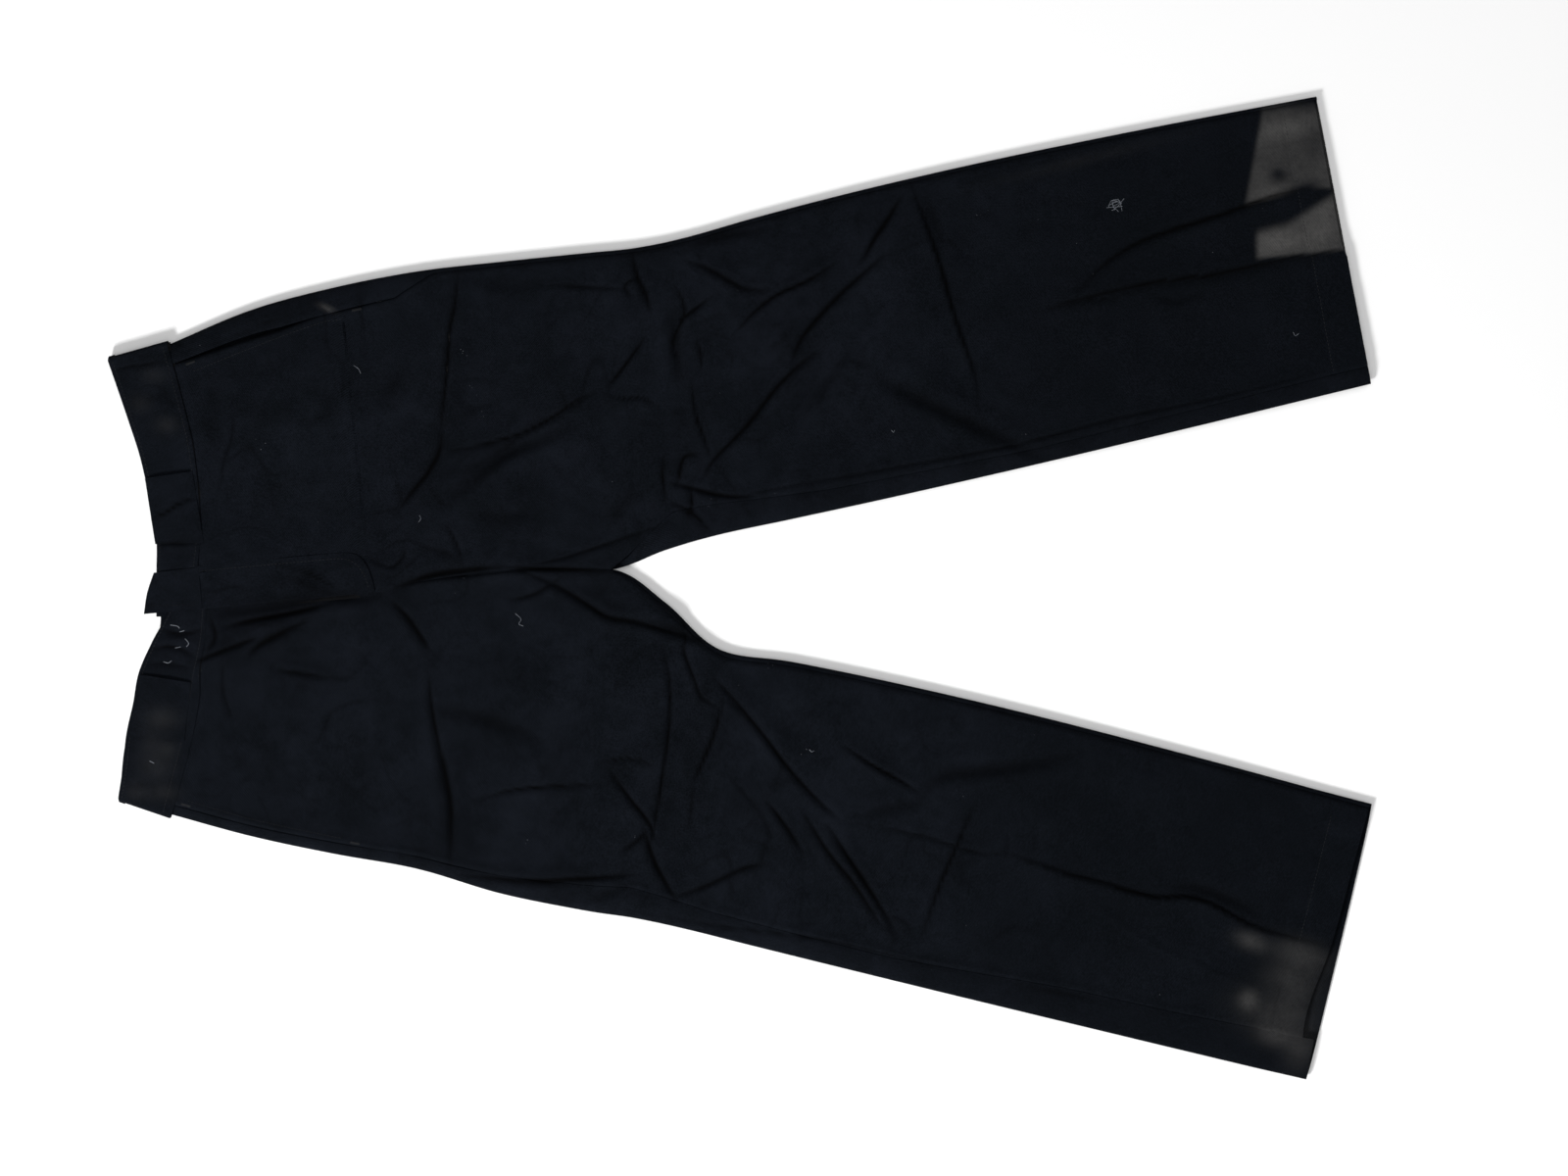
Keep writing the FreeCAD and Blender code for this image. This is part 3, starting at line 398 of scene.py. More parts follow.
def ripple(x, y, seed, shortest, longest, count=26):
    """Soft unevenness: many faint waves that cross at random, always the same for one seed."""
    rng = np.random.default_rng(seed)
    total = np.zeros(np.shape(x))
    for _ in range(count):
        length = math.exp(rng.uniform(math.log(shortest), math.log(longest)))
        turn, phase = rng.uniform(0, 2 * math.pi, 2)
        total += (length / longest) ** 0.8 * np.sin(2 * math.pi / length * (x * math.cos(turn) + y * math.sin(turn)) + phase)
    return total / math.sqrt(count)

print(len(STROKES), "folds")

# %% [markdown]
# ## Seam lines on the front
# The side seams don't lie on the outline: the back is cut wider and wraps round, so the seam shows on
# the front, up to three centimetres in. Each seam is a furrow with the allowance as a soft ridge beside
# it. The distances below are how far in the seam lies, from the waist down.

# %% Where the seams lie
SEAM_IN = {
    ("left", "outer"): ([-500, -400, -302, -268, 500], [17, 23, 20, 4, 3]),
    ("left", "inner"): ([-110, -55, 4, 80, 260, 515], [2, 30, 24, 18, 13, 15]),
    ("right", "outer"): ([-500, -259, -98, -30, 128, 276, 378, 489], [8, 11, 26, 20, 19, 29, 31, 36]),
    ("right", "inner"): ([-110, -60, 546], [2, 4, 3]),
}


def seam_in(side, edge, x):
    return np.interp(x, *SEAM_IN[side, edge])


class Leg:
    """One half of the trousers: the places and heights of its front and its back."""

    def __init__(self, side, rows):
        self.side = side
        self.front = self._ruled(INNER_FRONT[side], OUTER_FRONT[side], rows)
        self.back = self._ruled(INNER_BACK[side], OUTER[side], rows)

    @staticmethod
    def _ruled(inner, outer, rows):
        dense = 40 * len(inner)
        a, b = smooth_line(inner, dense), smooth_line(outer, dense)
        middle = (a + b) / 2
        run = np.concatenate([[0], np.cumsum(np.linalg.norm(np.diff(middle, axis=0), axis=1))])
        at = np.linspace(0, run[-1], rows)
        pick = lambda line: np.column_stack([np.interp(at, run, line[:, 0]), np.interp(at, run, line[:, 1])])
        return pick(a), pick(b)

    def place(self, which, t, distance_in):
        """Points at share t down the leg (0 to 1) and a distance from its inner edge."""
        inner, outer = getattr(self, which)
        k = np.linspace(0, 1, len(inner))
        ix, iy = np.interp(t, k, inner[:, 0]), np.interp(t, k, inner[:, 1])
        ox, oy = np.interp(t, k, outer[:, 0]), np.interp(t, k, outer[:, 1])
        width = np.hypot(ox - ix, oy - iy)
        share = distance_in / width
        x, y = ix + (ox - ix) * share, iy + (oy - iy) * share
        # The waist seam hangs a little in the middle of each half.
        x = x + 10 * 4 * share * (1 - share) * (1 - smoothstep(0, 0.09, t))
        return x, y, width

    def share_at(self, which, x):
        """The share down the leg whose middle lies at x."""
        inner, outer = getattr(self, which)
        middle = (inner[:, 0] + outer[:, 0]) / 2
        return float(np.interp(x, middle, np.linspace(0, 1, len(inner))))

    def top(self, x, y, from_inner, from_outer):
        """Height of the upper surface."""
        rise = roll(inner_distance(x, from_inner), 15) * roll(from_outer, 15)
        calm = smoothstep(0, 9, np.minimum(inner_distance(x, from_inner), from_outer))
        z = EDGE_Z + (top_level(x) - EDGE_Z) * rise
        z = z + calm * (wrinkles(x, y) + 0.55 * ripple(x, y, 3, 45, 170) + 0.22 * ripple(x, y, 5, 14, 45))
        return np.clip(z, 2.6, 15.2)

    def under(self, x, y, from_inner, from_outer):
        """Height of the lower surface, close to the table."""
        drop = roll(inner_distance(x, from_inner), 8) * roll(from_outer, 8)
        calm = smoothstep(0, 20, np.minimum(inner_distance(x, from_inner), from_outer))
        z = EDGE_Z - 3.4 * drop + calm * (0.5 + 0.35 * ripple(x, y, 11, 60, 200))
        return np.clip(z, 0.5, None)


ROWS = 500
legs = {side: Leg(side, ROWS) for side in SIGN}
print("leg rows:", ROWS)

# %% [markdown]
# ## Fly frame
# The front line leans a little from the waist seam's middle to the crotch. Everything at the fly is
# measured down that line and across it, so one small function places it.

# %% Down and across the fly
fly_way = np.subtract(CROTCH_CORNER, CENTRE_TOP)
FLY_COS, FLY_SIN = fly_way / np.linalg.norm(fly_way)


def fly(down, across):
    return (CENTRE[0][0] + FLY_COS * down - FLY_SIN * across,
            CENTRE[0][1] + FLY_SIN * down + FLY_COS * across)


def down_across(x, y):
    dx, dy = x - CENTRE[0][0], y - CENTRE[0][1]
    return FLY_COS * dx + FLY_SIN * dy, -FLY_SIN * dx + FLY_COS * dy


def pull_room(x, y):
    """The cloth stands a little higher over the zip pull, which needs room to swing up."""
    return 2.3 * np.exp(-((x + 326) / 24) ** 4 - ((y - 8) / 17) ** 4)


def fly_lift(x, y):
    """The left front rises to meet the flap that folds off it."""
    down, across = down_across(x, y)
    beside = np.exp(-((across - 36) / 20) ** 2) * (1 - smoothstep(120, 168, down))
    return (1.3 + 1.3 * np.exp(-np.clip(down + 10, 0, None) / 40)) * beside + pull_room(x, y)

# %% [markdown]
# ## Dust and wear
# Pale dust is ground into the left hem in a patch with one sharp edge, thinner on the right hem and on
# the right end of the waistband. It is stored on the cloth as an attribute, so it stays where it is when
# the cloth moves, and the shader breaks it up with noise.

# %% Dust map
def spot(x, y, cx, cy, rx, ry, turn=0.0):
    """A soft oval, 1 at its middle."""
    c, s = math.cos(turn), math.sin(turn)
    dx, dy = x - cx, y - cy
    return np.exp(-(((c * dx + s * dy) / rx) ** 2 + ((c * dy - s * dx) / ry) ** 2))


def dust_map(x, y):
    # left hem: a patch with a sharp edge, in two parts with a bare strip between them
    edge = np.interp(y, [334, 411], [438, 452])
    above = np.interp(x, [436, 494], [331, 347])
    upper = smoothstep(-2, 4, x - edge) * smoothstep(-2, 3, y - above) * (1 - smoothstep(408, 426, y))
    dark = np.clip(0.9 * spot(x, y, 467, 359, 8, 7) + 0.95 * spot(x, y, 488, 346, 16, 5, 0.3)
                   + 0.3 * spot(x, y, 500, 385, 12, 16), 0, 1)
    total = upper * (1 - dark) * (0.52 + 0.3 * spot(x, y, 470, 398, 40, 9, 0.2) + 0.25 * spot(x, y, 462, 342,
                                                            20, 8))
    strip = np.interp(x, [447, 475, 500, 520], [309, 316, 332, 345])
    lower = smoothstep(445, 452, x) * smoothstep(-1, 3,
                                                 y - np.interp(x, [440, 524],
                                                            [284, 293])) * (1 - smoothstep(-7, 5, y - strip))
    total = total + lower * (0.72 + 0.3 * spot(x, y, 470, 300, 22, 8) + 0.2 * spot(x, y, 505, 310, 12, 16))
    # right hem: thinner, in clouds
    for cx, cy, rx, ry, amount in ((444, -307, 13, 7, 0.46), (441, -358, 8, 8, 0.46),
                                   (464, -388, 14, 8, 0.36),
                                   (488, -318, 22, 11, 0.34), (480, -340, 22, 16, 0.26),
                                   (478, -372, 22, 22, 0.2),
                                   (486, -402, 12, 16, 0.24), (455, -370, 30, 16, 0.14)):
        total = total + amount * spot(x, y, cx, cy, rx, ry, -0.3)
    # waistband: the right end, and a little on the left
    for cx, cy, rx, ry, amount in ((-500, -113, 14, 10, 0.11), (-510, -136, 10, 14, 0.06),
                                   (-506, -155, 14, 12, 0.09),
                                   (-524, -176, 9, 8, 0.1), (-502, -178, 14, 7, 0.09),
                                   (-496, -140, 8, 7, 0.08),
                                   (-498, 141, 9, 7, 0.12), (-520, 160, 9, 8, 0.07),
                                   (-508, 184, 10, 7, 0.07)):
        total = total + amount * spot(x, y, cx, cy, rx, ry)
    total = total + 0.5 * spot(x, y, -359, 243, 7, 2.2, -0.4) + 0.05 * spot(x, y, 300, 372, 70, 5, 0.25)
    return np.clip(total, 0, 1)


def faded_map(x, y):
    """Where the cloth is a shade lighter from washing and wear."""
    total = 0.30 * spot(x, y, 20, 230, 120, 80) + 0.25 * spot(x, y, -140, -110, 140, 80)
    total = total + 0.25 * spot(x, y, -380, 120, 80, 70) + 0.2 * spot(x, y, -360, -120, 70, 60)
    total = total + 0.20 * spot(x, y, 60, -180, 130, 70) - 0.32 * smoothstep(150, 330, x)
    return np.clip(0.55 + total + 0.2 * ripple(x, y, 21, 30, 160), 0, 1.4)

# %% [markdown]
# ## Finishes
# The shell is a black twill with a trace of navy. Twill shows fine slanting ribs, so a node group draws
# them from the cloth's own UV map, which is in metres, and two more groups add lint and dust. Groups
# carry only values and colours, and each material keeps its own shader.

# %% Node helpers
def new_group(name, inputs, outputs):
    group = bpy.data.node_groups.new(name, "ShaderNodeTree")
    for label, kind, value in inputs:
        made = group.interface.new_socket(name=label, in_out="INPUT", socket_type=kind)
        if value is not None:
            made.default_value = value
    for label, kind in outputs:
        group.interface.new_socket(name=label, in_out="OUTPUT", socket_type=kind)
    return group, group.nodes.new("NodeGroupInput"), group.nodes.new("NodeGroupOutput")


def add(tree, kind, **settings):
    """A node whose keyword settings are its inputs by name, or its own properties."""
    node = tree.nodes.new(kind)
    for key, value in settings.items():
        if hasattr(node, key):
            setattr(node, key, value)
        else:
            node.inputs[key.replace("_", " ")].default_value = value
    return node


def math_node(tree, operation, a, b=None):
    node = add(tree, "ShaderNodeMath", operation=operation)
    for slot_index, item in enumerate((a, b)):
        if item is None:
            continue
        if isinstance(item, (int, float)):
            node.inputs[slot_index].default_value = item
        else:
            tree.links.new(item, node.inputs[slot_index])
    return node.outputs[0]


def mix_colour(tree, factor, a, b):
    node = add(tree, "ShaderNodeMix", data_type="RGBA")
    for socket, item in ((node.inputs[0], factor), (node.inputs[6], a), (node.inputs[7], b)):
        if isinstance(item, (int, float, tuple)):
            socket.default_value = item
        else:
            tree.links.new(item, socket)
    return node.outputs[2]

# %% [markdown]
# ### Twill ribs
# One wave texture makes the slanting ribs and a second, finer one the yarns that cross them. The wave
# texture's rings run at twenty radians per metre, so its scale for a rib of a given width is two pi
# over twenty widths.

# %% Twill group
def wave_scale(pitch):
    return 2 * math.pi / (20 * pitch)


def make_twill():
    group, into, out = new_group("Twill ribs",
                                 [("UV", "NodeSocketVector", None), ("Angle", "NodeSocketFloat", 0.9),
                                  ("Pitch", "NodeSocketFloat", 0.0013)],
                                 [("Height", "NodeSocketFloat"), ("Rib", "NodeSocketFloat")])
    turn = add(group, "ShaderNodeVectorRotate", rotation_type="Z_AXIS")
    group.links.new(into.outputs["UV"], turn.inputs["Vector"])
    group.links.new(into.outputs["Angle"], turn.inputs["Angle"])
    scale = math_node(group, "DIVIDE", 2 * math.pi / 20, into.outputs["Pitch"])
    ribs = add(group, "ShaderNodeTexWave", bands_direction="X", Distortion=0.35, Detail=1.0)
    ribs.inputs["Detail Scale"].default_value = 1.6
    group.links.new(turn.outputs[0], ribs.inputs["Vector"])
    group.links.new(scale, ribs.inputs["Scale"])
    yarns = add(group, "ShaderNodeTexWave", bands_direction="Y", Distortion=0.6)
    group.links.new(into.outputs["UV"], yarns.inputs["Vector"])
    group.links.new(math_node(group, "MULTIPLY", scale, 2.1), yarns.inputs["Scale"])
    height = math_node(group, "ADD", math_node(group, "MULTIPLY", ribs.outputs["Fac"], 0.75),
                       math_node(group, "MULTIPLY", yarns.outputs["Fac"], 0.25))
    group.links.new(height, out.inputs["Height"])
    group.links.new(ribs.outputs["Fac"], out.inputs["Rib"])
    return group


twill_group = make_twill()

# %% [markdown]
# ### Lint and dust
# Lint is short fibres and specks caught in the nap: small cells of a Voronoi noise, kept where a second
# noise passes a high threshold. Dust takes the attribute's amount and breaks it up, so that it sits on the ribs and
# leaves the furrows dark.

# %% Lint and dust groups
def make_lint():
    group, into, out = new_group("Lint", [("Place", "NodeSocketVector", None),
                                          ("Amount", "NodeSocketFloat", 0.3)],
                                 [("Mask", "NodeSocketFloat")])
    specks = add(group, "ShaderNodeTexVoronoi", Scale=260.0)
    group.links.new(into.outputs["Place"], specks.inputs["Vector"])
    where = add(group, "ShaderNodeTexNoise", Scale=38.0, Detail=3.0)
    group.links.new(into.outputs["Place"], where.inputs["Vector"])
    near = math_node(group, "LESS_THAN", specks.outputs["Distance"], 0.11)
    rare = math_node(group, "GREATER_THAN", where.outputs["Fac"], 0.69)
    mask = math_node(group, "MULTIPLY", math_node(group, "MULTIPLY", near, rare), into.outputs["Amount"])
    group.links.new(mask, out.inputs["Mask"])
    return group


def make_dust():
    group, into, out = new_group("Ground-in dust",
                                 [("Place", "NodeSocketVector", None), ("Amount", "NodeSocketFloat", 0.0),
                                  ("Rib", "NodeSocketFloat", 0.5)],
                                 [("Mask", "NodeSocketFloat")])
    cloud = add(group, "ShaderNodeTexNoise", Scale=34.0, Detail=6.0, Roughness=0.65)
    fine = add(group, "ShaderNodeTexNoise", Scale=420.0, Detail=2.0)
    for texture in (cloud, fine):
        group.links.new(into.outputs["Place"], texture.inputs["Vector"])
    rough = math_node(group, "ADD", math_node(group, "MULTIPLY", cloud.outputs["Fac"], 1.1),
                      math_node(group, "MULTIPLY", fine.outputs["Fac"], 0.5))
    on_ribs = math_node(group, "ADD", math_node(group, "MULTIPLY", into.outputs["Rib"], 0.35), 0.70)
    amount = math_node(group, "MULTIPLY", math_node(group, "MULTIPLY", into.outputs["Amount"], rough),
                       on_ribs)
    group.links.new(math_node(group, "MINIMUM", amount, 1.0), out.inputs["Mask"])
    return group


lint_group, dust_group = make_lint(), make_dust()

# %% [markdown]
# ### Cloth materials
# One function makes every cloth, from the dark shell to the pocketing: a body colour that drifts
# between two shades, the ribs, dust, lint and a bump made of ribs and tiny wrinkles. Dark cloth has a
# very weak shine, so the specular level stays low.

# %% Cloth
def srgb(r, g, b):
    """A colour as 0 to 255 numbers, in the linear light that shaders use."""
    linear = [((c / 255 + 0.055) / 1.055) ** 2.4 if c > 10.3 else c / 255 / 12.92 for c in (r, g, b)]
    return (*linear, 1.0)


DUST_COLOUR = srgb(80, 79, 78)
LINT_COLOUR = srgb(120, 124, 130)


def cloth(name, dark, light, pitch=0.0013, angle=0.9, lint=0.25, wrinkle=0.5, specular=0.03, rough=0.92):
    material = bpy.data.materials.new(name)
    material.use_nodes = True
    tree = material.node_tree
    shader = tree.nodes["Principled BSDF"]
    shader.inputs["Specular IOR Level"].default_value = specular
    uv = add(tree, "ShaderNodeUVMap")
    place = add(tree, "ShaderNodeTexCoord").outputs["Object"]
    dust = add(tree, "ShaderNodeAttribute", attribute_name="dust").outputs["Fac"]
    faded = add(tree, "ShaderNodeAttribute", attribute_name="faded").outputs["Fac"]
    shade = add(tree, "ShaderNodeAttribute", attribute_name="shade").outputs["Fac"]
    ribs = add(tree, "ShaderNodeGroup", node_tree=twill_group)
    ribs.inputs["Angle"].default_value = angle
    ribs.inputs["Pitch"].default_value = pitch
    tree.links.new(uv.outputs[0], ribs.inputs["UV"])
    cloud = add(tree, "ShaderNodeTexNoise", Scale=14.0, Detail=5.0, Roughness=0.6)
    tree.links.new(place, cloud.inputs["Vector"])
    mottle = add(tree, "ShaderNodeTexNoise", Scale=52.0, Detail=6.0, Roughness=0.7)
    tree.links.new(place, mottle.inputs["Vector"])
    patchy = math_node(tree, "ADD", cloud.outputs["Fac"], mottle.outputs["Fac"])
    patchy = math_node(tree, "MAXIMUM", math_node(tree, "SUBTRACT", math_node(tree, "MULTIPLY", patchy, 1.9),
                                                  1.45), 0.0)
    drift = math_node(tree, "MULTIPLY", patchy, faded)
    grain = add(tree, "ShaderNodeTexNoise", Scale=750.0, Detail=2.0)
    tree.links.new(place, grain.inputs["Vector"])
    speckle = math_node(tree, "MULTIPLY", math_node(tree, "SUBTRACT", grain.outputs["Fac"], 0.5), 1.6)
    rib_shade = math_node(tree, "ADD", math_node(tree, "MULTIPLY", ribs.outputs["Rib"], 0.42), speckle)
    factor = math_node(tree, "ADD", drift, rib_shade)
    factor = math_node(tree, "MAXIMUM", math_node(tree, "MINIMUM", factor, 1.25), 0.0)
    colour = mix_colour(tree, factor, dark, light)
    dusty = add(tree, "ShaderNodeGroup", node_tree=dust_group)
    tree.links.new(place, dusty.inputs["Place"])
    tree.links.new(dust, dusty.inputs["Amount"])
    tree.links.new(ribs.outputs["Rib"], dusty.inputs["Rib"])
    colour = mix_colour(tree, dusty.outputs["Mask"], colour, DUST_COLOUR)
    fluff = add(tree, "ShaderNodeGroup", node_tree=lint_group)
    fluff.inputs["Amount"].default_value = lint
    tree.links.new(place, fluff.inputs["Place"])
    colour = mix_colour(tree, fluff.outputs["Mask"], colour, LINT_COLOUR)
    # Painted shade: the shade attribute darkens the colour in the folds and under the lips.
    colour = mix_colour(tree, math_node(tree, "MULTIPLY", shade, 0.93), colour, (0.0004, 0.0004, 0.0005, 1.0))
    tree.links.new(colour, shader.inputs["Base Color"])
    tree.links.new(math_node(tree, "ADD", math_node(tree, "MULTIPLY", cloud.outputs["Fac"], 0.12),
                             rough - 0.06),
                   shader.inputs["Roughness"])
    tiny = add(tree, "ShaderNodeTexNoise", Scale=95.0, Detail=3.0, Roughness=0.55)
    tree.links.new(place, tiny.inputs["Vector"])
    folds = add(tree, "ShaderNodeBump", Strength=wrinkle, Distance=0.0016)
    tree.links.new(tiny.outputs["Fac"], folds.inputs["Height"])
    weave = add(tree, "ShaderNodeBump", Strength=0.55, Distance=0.00035)
    tree.links.new(ribs.outputs["Height"], weave.inputs["Height"])
    tree.links.new(folds.outputs[0], weave.inputs["Normal"])
    tree.links.new(weave.outputs[0], shader.inputs["Normal"])
    return material


finish = {
    "shell_twill": cloth("Black twill", srgb(5, 7, 10), srgb(17, 20, 26)),
    "pocketing": cloth("Pocket drill", srgb(12, 12, 13), srgb(26, 26, 27), pitch=0.0009, angle=0.7, lint=0.5),
    "stiffener": cloth("Band stiffener", srgb(52, 52, 50), srgb(84, 84, 80), pitch=0.0016, angle=0.0,
                       lint=0.0),
    "zip_tape": cloth("Zip tape", srgb(12, 13, 15), srgb(28, 29, 31), pitch=0.0010, angle=1.57, lint=0.2,
                      wrinkle=0.1),
    "thread": cloth("Sewing thread", srgb(14, 15, 18), srgb(34, 36, 40), pitch=0.0005, angle=0.5, lint=0.0,
                    wrinkle=0.1, specular=0.3, rough=0.7),
}
print("cloths:", ", ".join(finish))

# %% [markdown]
# ### Metal and plastic
# The zip is brass dulled by handling, the hook and bar are brushed steel, and the back pocket buttons are
# moulded plastic. All three share one group for fine scratches and for tarnish, a noise that darkens them
# in patches.

# %% Metal and button finishes
def make_scratches():
    group, into, out = new_group("Fine scratches",
                                 [("Place", "NodeSocketVector", None), ("Scale", "NodeSocketFloat", 900.0)],
                                 [("Mask", "NodeSocketFloat"), ("Height", "NodeSocketFloat")])
    stretch = add(group, "ShaderNodeMapping")
    stretch.inputs["Scale"].default_value = (0.15, 1.0, 1.0)
    group.links.new(into.outputs["Place"], stretch.inputs["Vector"])
    lines = add(group, "ShaderNodeTexNoise", Detail=4.0, Roughness=0.7)
    group.links.new(stretch.outputs[0], lines.inputs["Vector"])
    group.links.new(into.outputs["Scale"], lines.inputs["Scale"])
    tarnish = add(group, "ShaderNodeTexNoise", Scale=160.0, Detail=3.0)
    group.links.new(into.outputs["Place"], tarnish.inputs["Vector"])
    group.links.new(tarnish.outputs["Fac"], out.inputs["Mask"])
    group.links.new(lines.outputs["Fac"], out.inputs["Height"])
    return group


scratch_group = make_scratches()


def hard_finish(name, bright, dull, metallic, rough):
    material = bpy.data.materials.new(name)
    material.use_nodes = True
    tree = material.node_tree
    shader = tree.nodes["Principled BSDF"]
    shader.inputs["Metallic"].default_value = metallic
    place = add(tree, "ShaderNodeTexCoord").outputs["Object"]
    marks = add(tree, "ShaderNodeGroup", node_tree=scratch_group)
    tree.links.new(place, marks.inputs["Place"])
    tree.links.new(mix_colour(tree, marks.outputs["Mask"], bright, dull), shader.inputs["Base Color"])
    tree.links.new(math_node(tree, "ADD", math_node(tree, "MULTIPLY", marks.outputs["Height"], 0.3),
                             rough - 0.15),
                   shader.inputs["Roughness"])
    bump = add(tree, "ShaderNodeBump", Strength=0.25, Distance=0.0001)
    tree.links.new(marks.outputs["Height"], bump.inputs["Height"])
    tree.links.new(bump.outputs[0], shader.inputs["Normal"])
    return material


finish["zip_metal"] = hard_finish("Dull brass", srgb(190, 150, 84), srgb(112, 84, 44), 1.0, 0.38)
finish["hook_metal"] = hard_finish("Brushed steel", srgb(190, 190, 188), srgb(120, 120, 120), 1.0, 0.36)
finish["button_plastic"] = hard_finish("Black button", srgb(16, 16, 18), srgb(30, 30, 32), 0.0, 0.35)

# %% [markdown]
# ## Laying a sheet
# Every cloth piece starts as Blender's grid primitive. Its vertices are laid on the rows of places that
# the piece needs, the UV map is filled with real distances along and across the cloth, and a Solidify
# modifier gives it the cloth's thickness. The same function also hangs the piece on the body that carries
# it, hides the plain layers it stands for, and notes in a list how large it was cut.

# %% Lay a sheet
sheet_report = []


def grid_mesh(name, rows):
    """Blender's grid primitive with its vertices laid on the rows, and a UV map in metres."""
    down, across = rows.shape[:2]
    bpy.ops.object.select_all(action="DESELECT")
    bpy.ops.mesh.primitive_grid_add(x_subdivisions=across - 1, y_subdivisions=down - 1, size=1.0)
    obj = bpy.context.object
    obj.name = obj.data.name = name
    mesh = obj.data
    mesh.vertices.foreach_set("co", (rows.reshape(-1, 3) * MM).ravel())
    steps_across = np.linalg.norm(np.diff(rows, axis=1), axis=2)
    steps_down = np.linalg.norm(np.diff(rows, axis=0), axis=2)
    u = np.concatenate([np.zeros((down, 1)), np.cumsum(steps_across, axis=1)], axis=1)
    v = np.concatenate([[0], np.cumsum(steps_down.mean(axis=1))])[:, None] * np.ones((1, across))
    uv = np.stack([u, v], axis=2).reshape(-1, 2) * MM
    corner = np.empty(len(mesh.loops), int)
    mesh.loops.foreach_get("vertex_index", corner)
    mesh.uv_layers[0].data.foreach_set("uv", uv[corner].ravel())
    flat = rows.reshape(-1, 3)
    shown = flat[:, 2] > 5
    for label, wanted in (("dust", dust_map), ("faded", faded_map), ("shade", shade_map)):
        values = wanted(flat[:, 0], flat[:, 1])
        if label == "shade":
            values = values * shown
        mesh.attributes.new(label, "FLOAT", "POINT").data.foreach_set("value", values.astype(np.float32))
    mesh.update()
    return obj, steps_across, steps_down


def face_way(mesh, face):
    """Turns the faces so that they look up or down; start means that the first rows look up."""
    normals = np.empty(len(mesh.polygons) * 3)
    mesh.polygons.foreach_get("normal", normals)
    normals = normals.reshape(-1, 3)[:, 2]
    part = normals[: max(1, len(normals) // 6)] if face == "start" else normals
    if (part.mean() > 0) != (face in ("up", "start")):
        mesh.flip_normals()


def line_with_coarse_underside(obj, rows, thick, step=4):
    """A fine top takes a coarser underside, a cloth's thickness lower, joined to it round the rim."""
    down, across = rows.shape[:2]
    pick_down = sorted(set(range(0, down, step)) | {down - 1})
    pick_across = sorted(set(range(0, across, step)) | {across - 1})
    z = rows[:, :, 2]
    lowest = z.copy()
    for shift in (1, 2, 3):
        for axis in (0, 1):
            for way in (shift, -shift):
                moved = np.roll(z, way, axis=axis)
                lowest = np.minimum(lowest, moved)
    lowest[[0, -1], :], lowest[:, [0, -1]] = z[[0, -1], :], z[:, [0, -1]]
    mesh = bmesh.new()
    mesh.from_mesh(obj.data)
    mesh.verts.ensure_lookup_table()
    layers = [mesh.verts.layers.float[label] for label in ("dust", "faded", "shade")]
    uv_layer = mesh.loops.layers.uv.active
    under = {}
    for i in pick_down:
        for j in pick_across:
            x, y, _ = rows[i, j]
            vertex = mesh.verts.new((x * MM, y * MM, (lowest[i, j] - thick) * MM))
            for layer in layers:
                vertex[layer] = 0.0
            under[i, j] = vertex
    top = lambda i, j: mesh.verts[i * across + j]
    mesh.verts.ensure_lookup_table()
    for a, b in zip(pick_down, pick_down[1:]):
        for c, d in zip(pick_across, pick_across[1:]):
            mesh.faces.new((under[a, c], under[b, c], under[b, d], under[a, d]))
    for i in (0, down - 1):
        for c, d in zip(pick_across, pick_across[1:]):
            mesh.faces.new([under[i, c], under[i, d]] + [top(i, j) for j in range(d, c - 1, -1)])
    for j in (0, across - 1):
        for a, b in zip(pick_down, pick_down[1:]):
            mesh.faces.new([under[a, j], under[b, j]] + [top(i, j) for i in range(b, a - 1, -1)])
    for face in mesh.faces:
        if any(v.index >= down * across or v.index < 0 for v in face.verts):
            for loop in face.loops:
                loop[uv_layer].uv = (loop.vert.co.y, loop.vert.co.x)
    bmesh.ops.recalc_face_normals(mesh, faces=mesh.faces)
    mesh.to_mesh(obj.data)
    mesh.free()


def lay(name, rows, slot="shell_twill", body="trousers", stands_for=(), thick=0.8, face="up",
        blend=None, fine=False, flat=None):
    """rows is an array of points in millimetres: down the piece, then across it."""
    rows = np.asarray(rows, float)
    obj, steps_across, steps_down = grid_mesh(name, rows)
    mesh = obj.data
    face_way(mesh, face)
    if fine:
        line_with_coarse_underside(obj, rows, thick)
    else:
        solid = obj.modifiers.new("Thickness", "SOLIDIFY")
        solid.thickness = thick * MM
        solid.offset = -1
        solid.use_even_offset = False
        bpy.ops.object.modifier_apply(modifier=solid.name)
    bpy.ops.object.shade_smooth_by_angle(angle=math.radians(60))
    mesh.materials.clear()
    mesh.materials.append(finish[slot])
    width, length = float(steps_across.sum(axis=1).max()), float(steps_down.sum(axis=0).max())
    if min(width, length) >= 10:
        flat = flat or (math.ceil(width), math.ceil(length))
        sheet_report.append((name, *flat))
    if stands_for:
        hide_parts(*stands_for)
    if blend:
        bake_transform(obj, "trousers", body, *blend)
    else:
        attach(obj, body)
    return obj

# %% [markdown]
# ## Leg panels
# Each leg has a front and a back. The front spans from seam to seam over the top. The back starts on top
# at the inner seam, rolls round the inner edge, crosses underneath, and comes up round the outer edge to
# the outer seam. Columns crowd together near the edges, where the cloth turns.

# %% Front and back of each leg
def crowd(count, strength=0.6):
    """Shares from 0 to 1 that lie closer together at both ends."""
    s = np.linspace(0, 1, count)
    return s - strength * np.sin(2 * np.pi * s) / (2 * np.pi)


def seam_furrow(distance, deep):
    """A furrow at the seam and the allowance's soft ridge beside it."""
    return 0.4 * np.exp(-((distance - 4) / 2.6) ** 2) - deep * np.exp(-(distance / 1.1) ** 2)


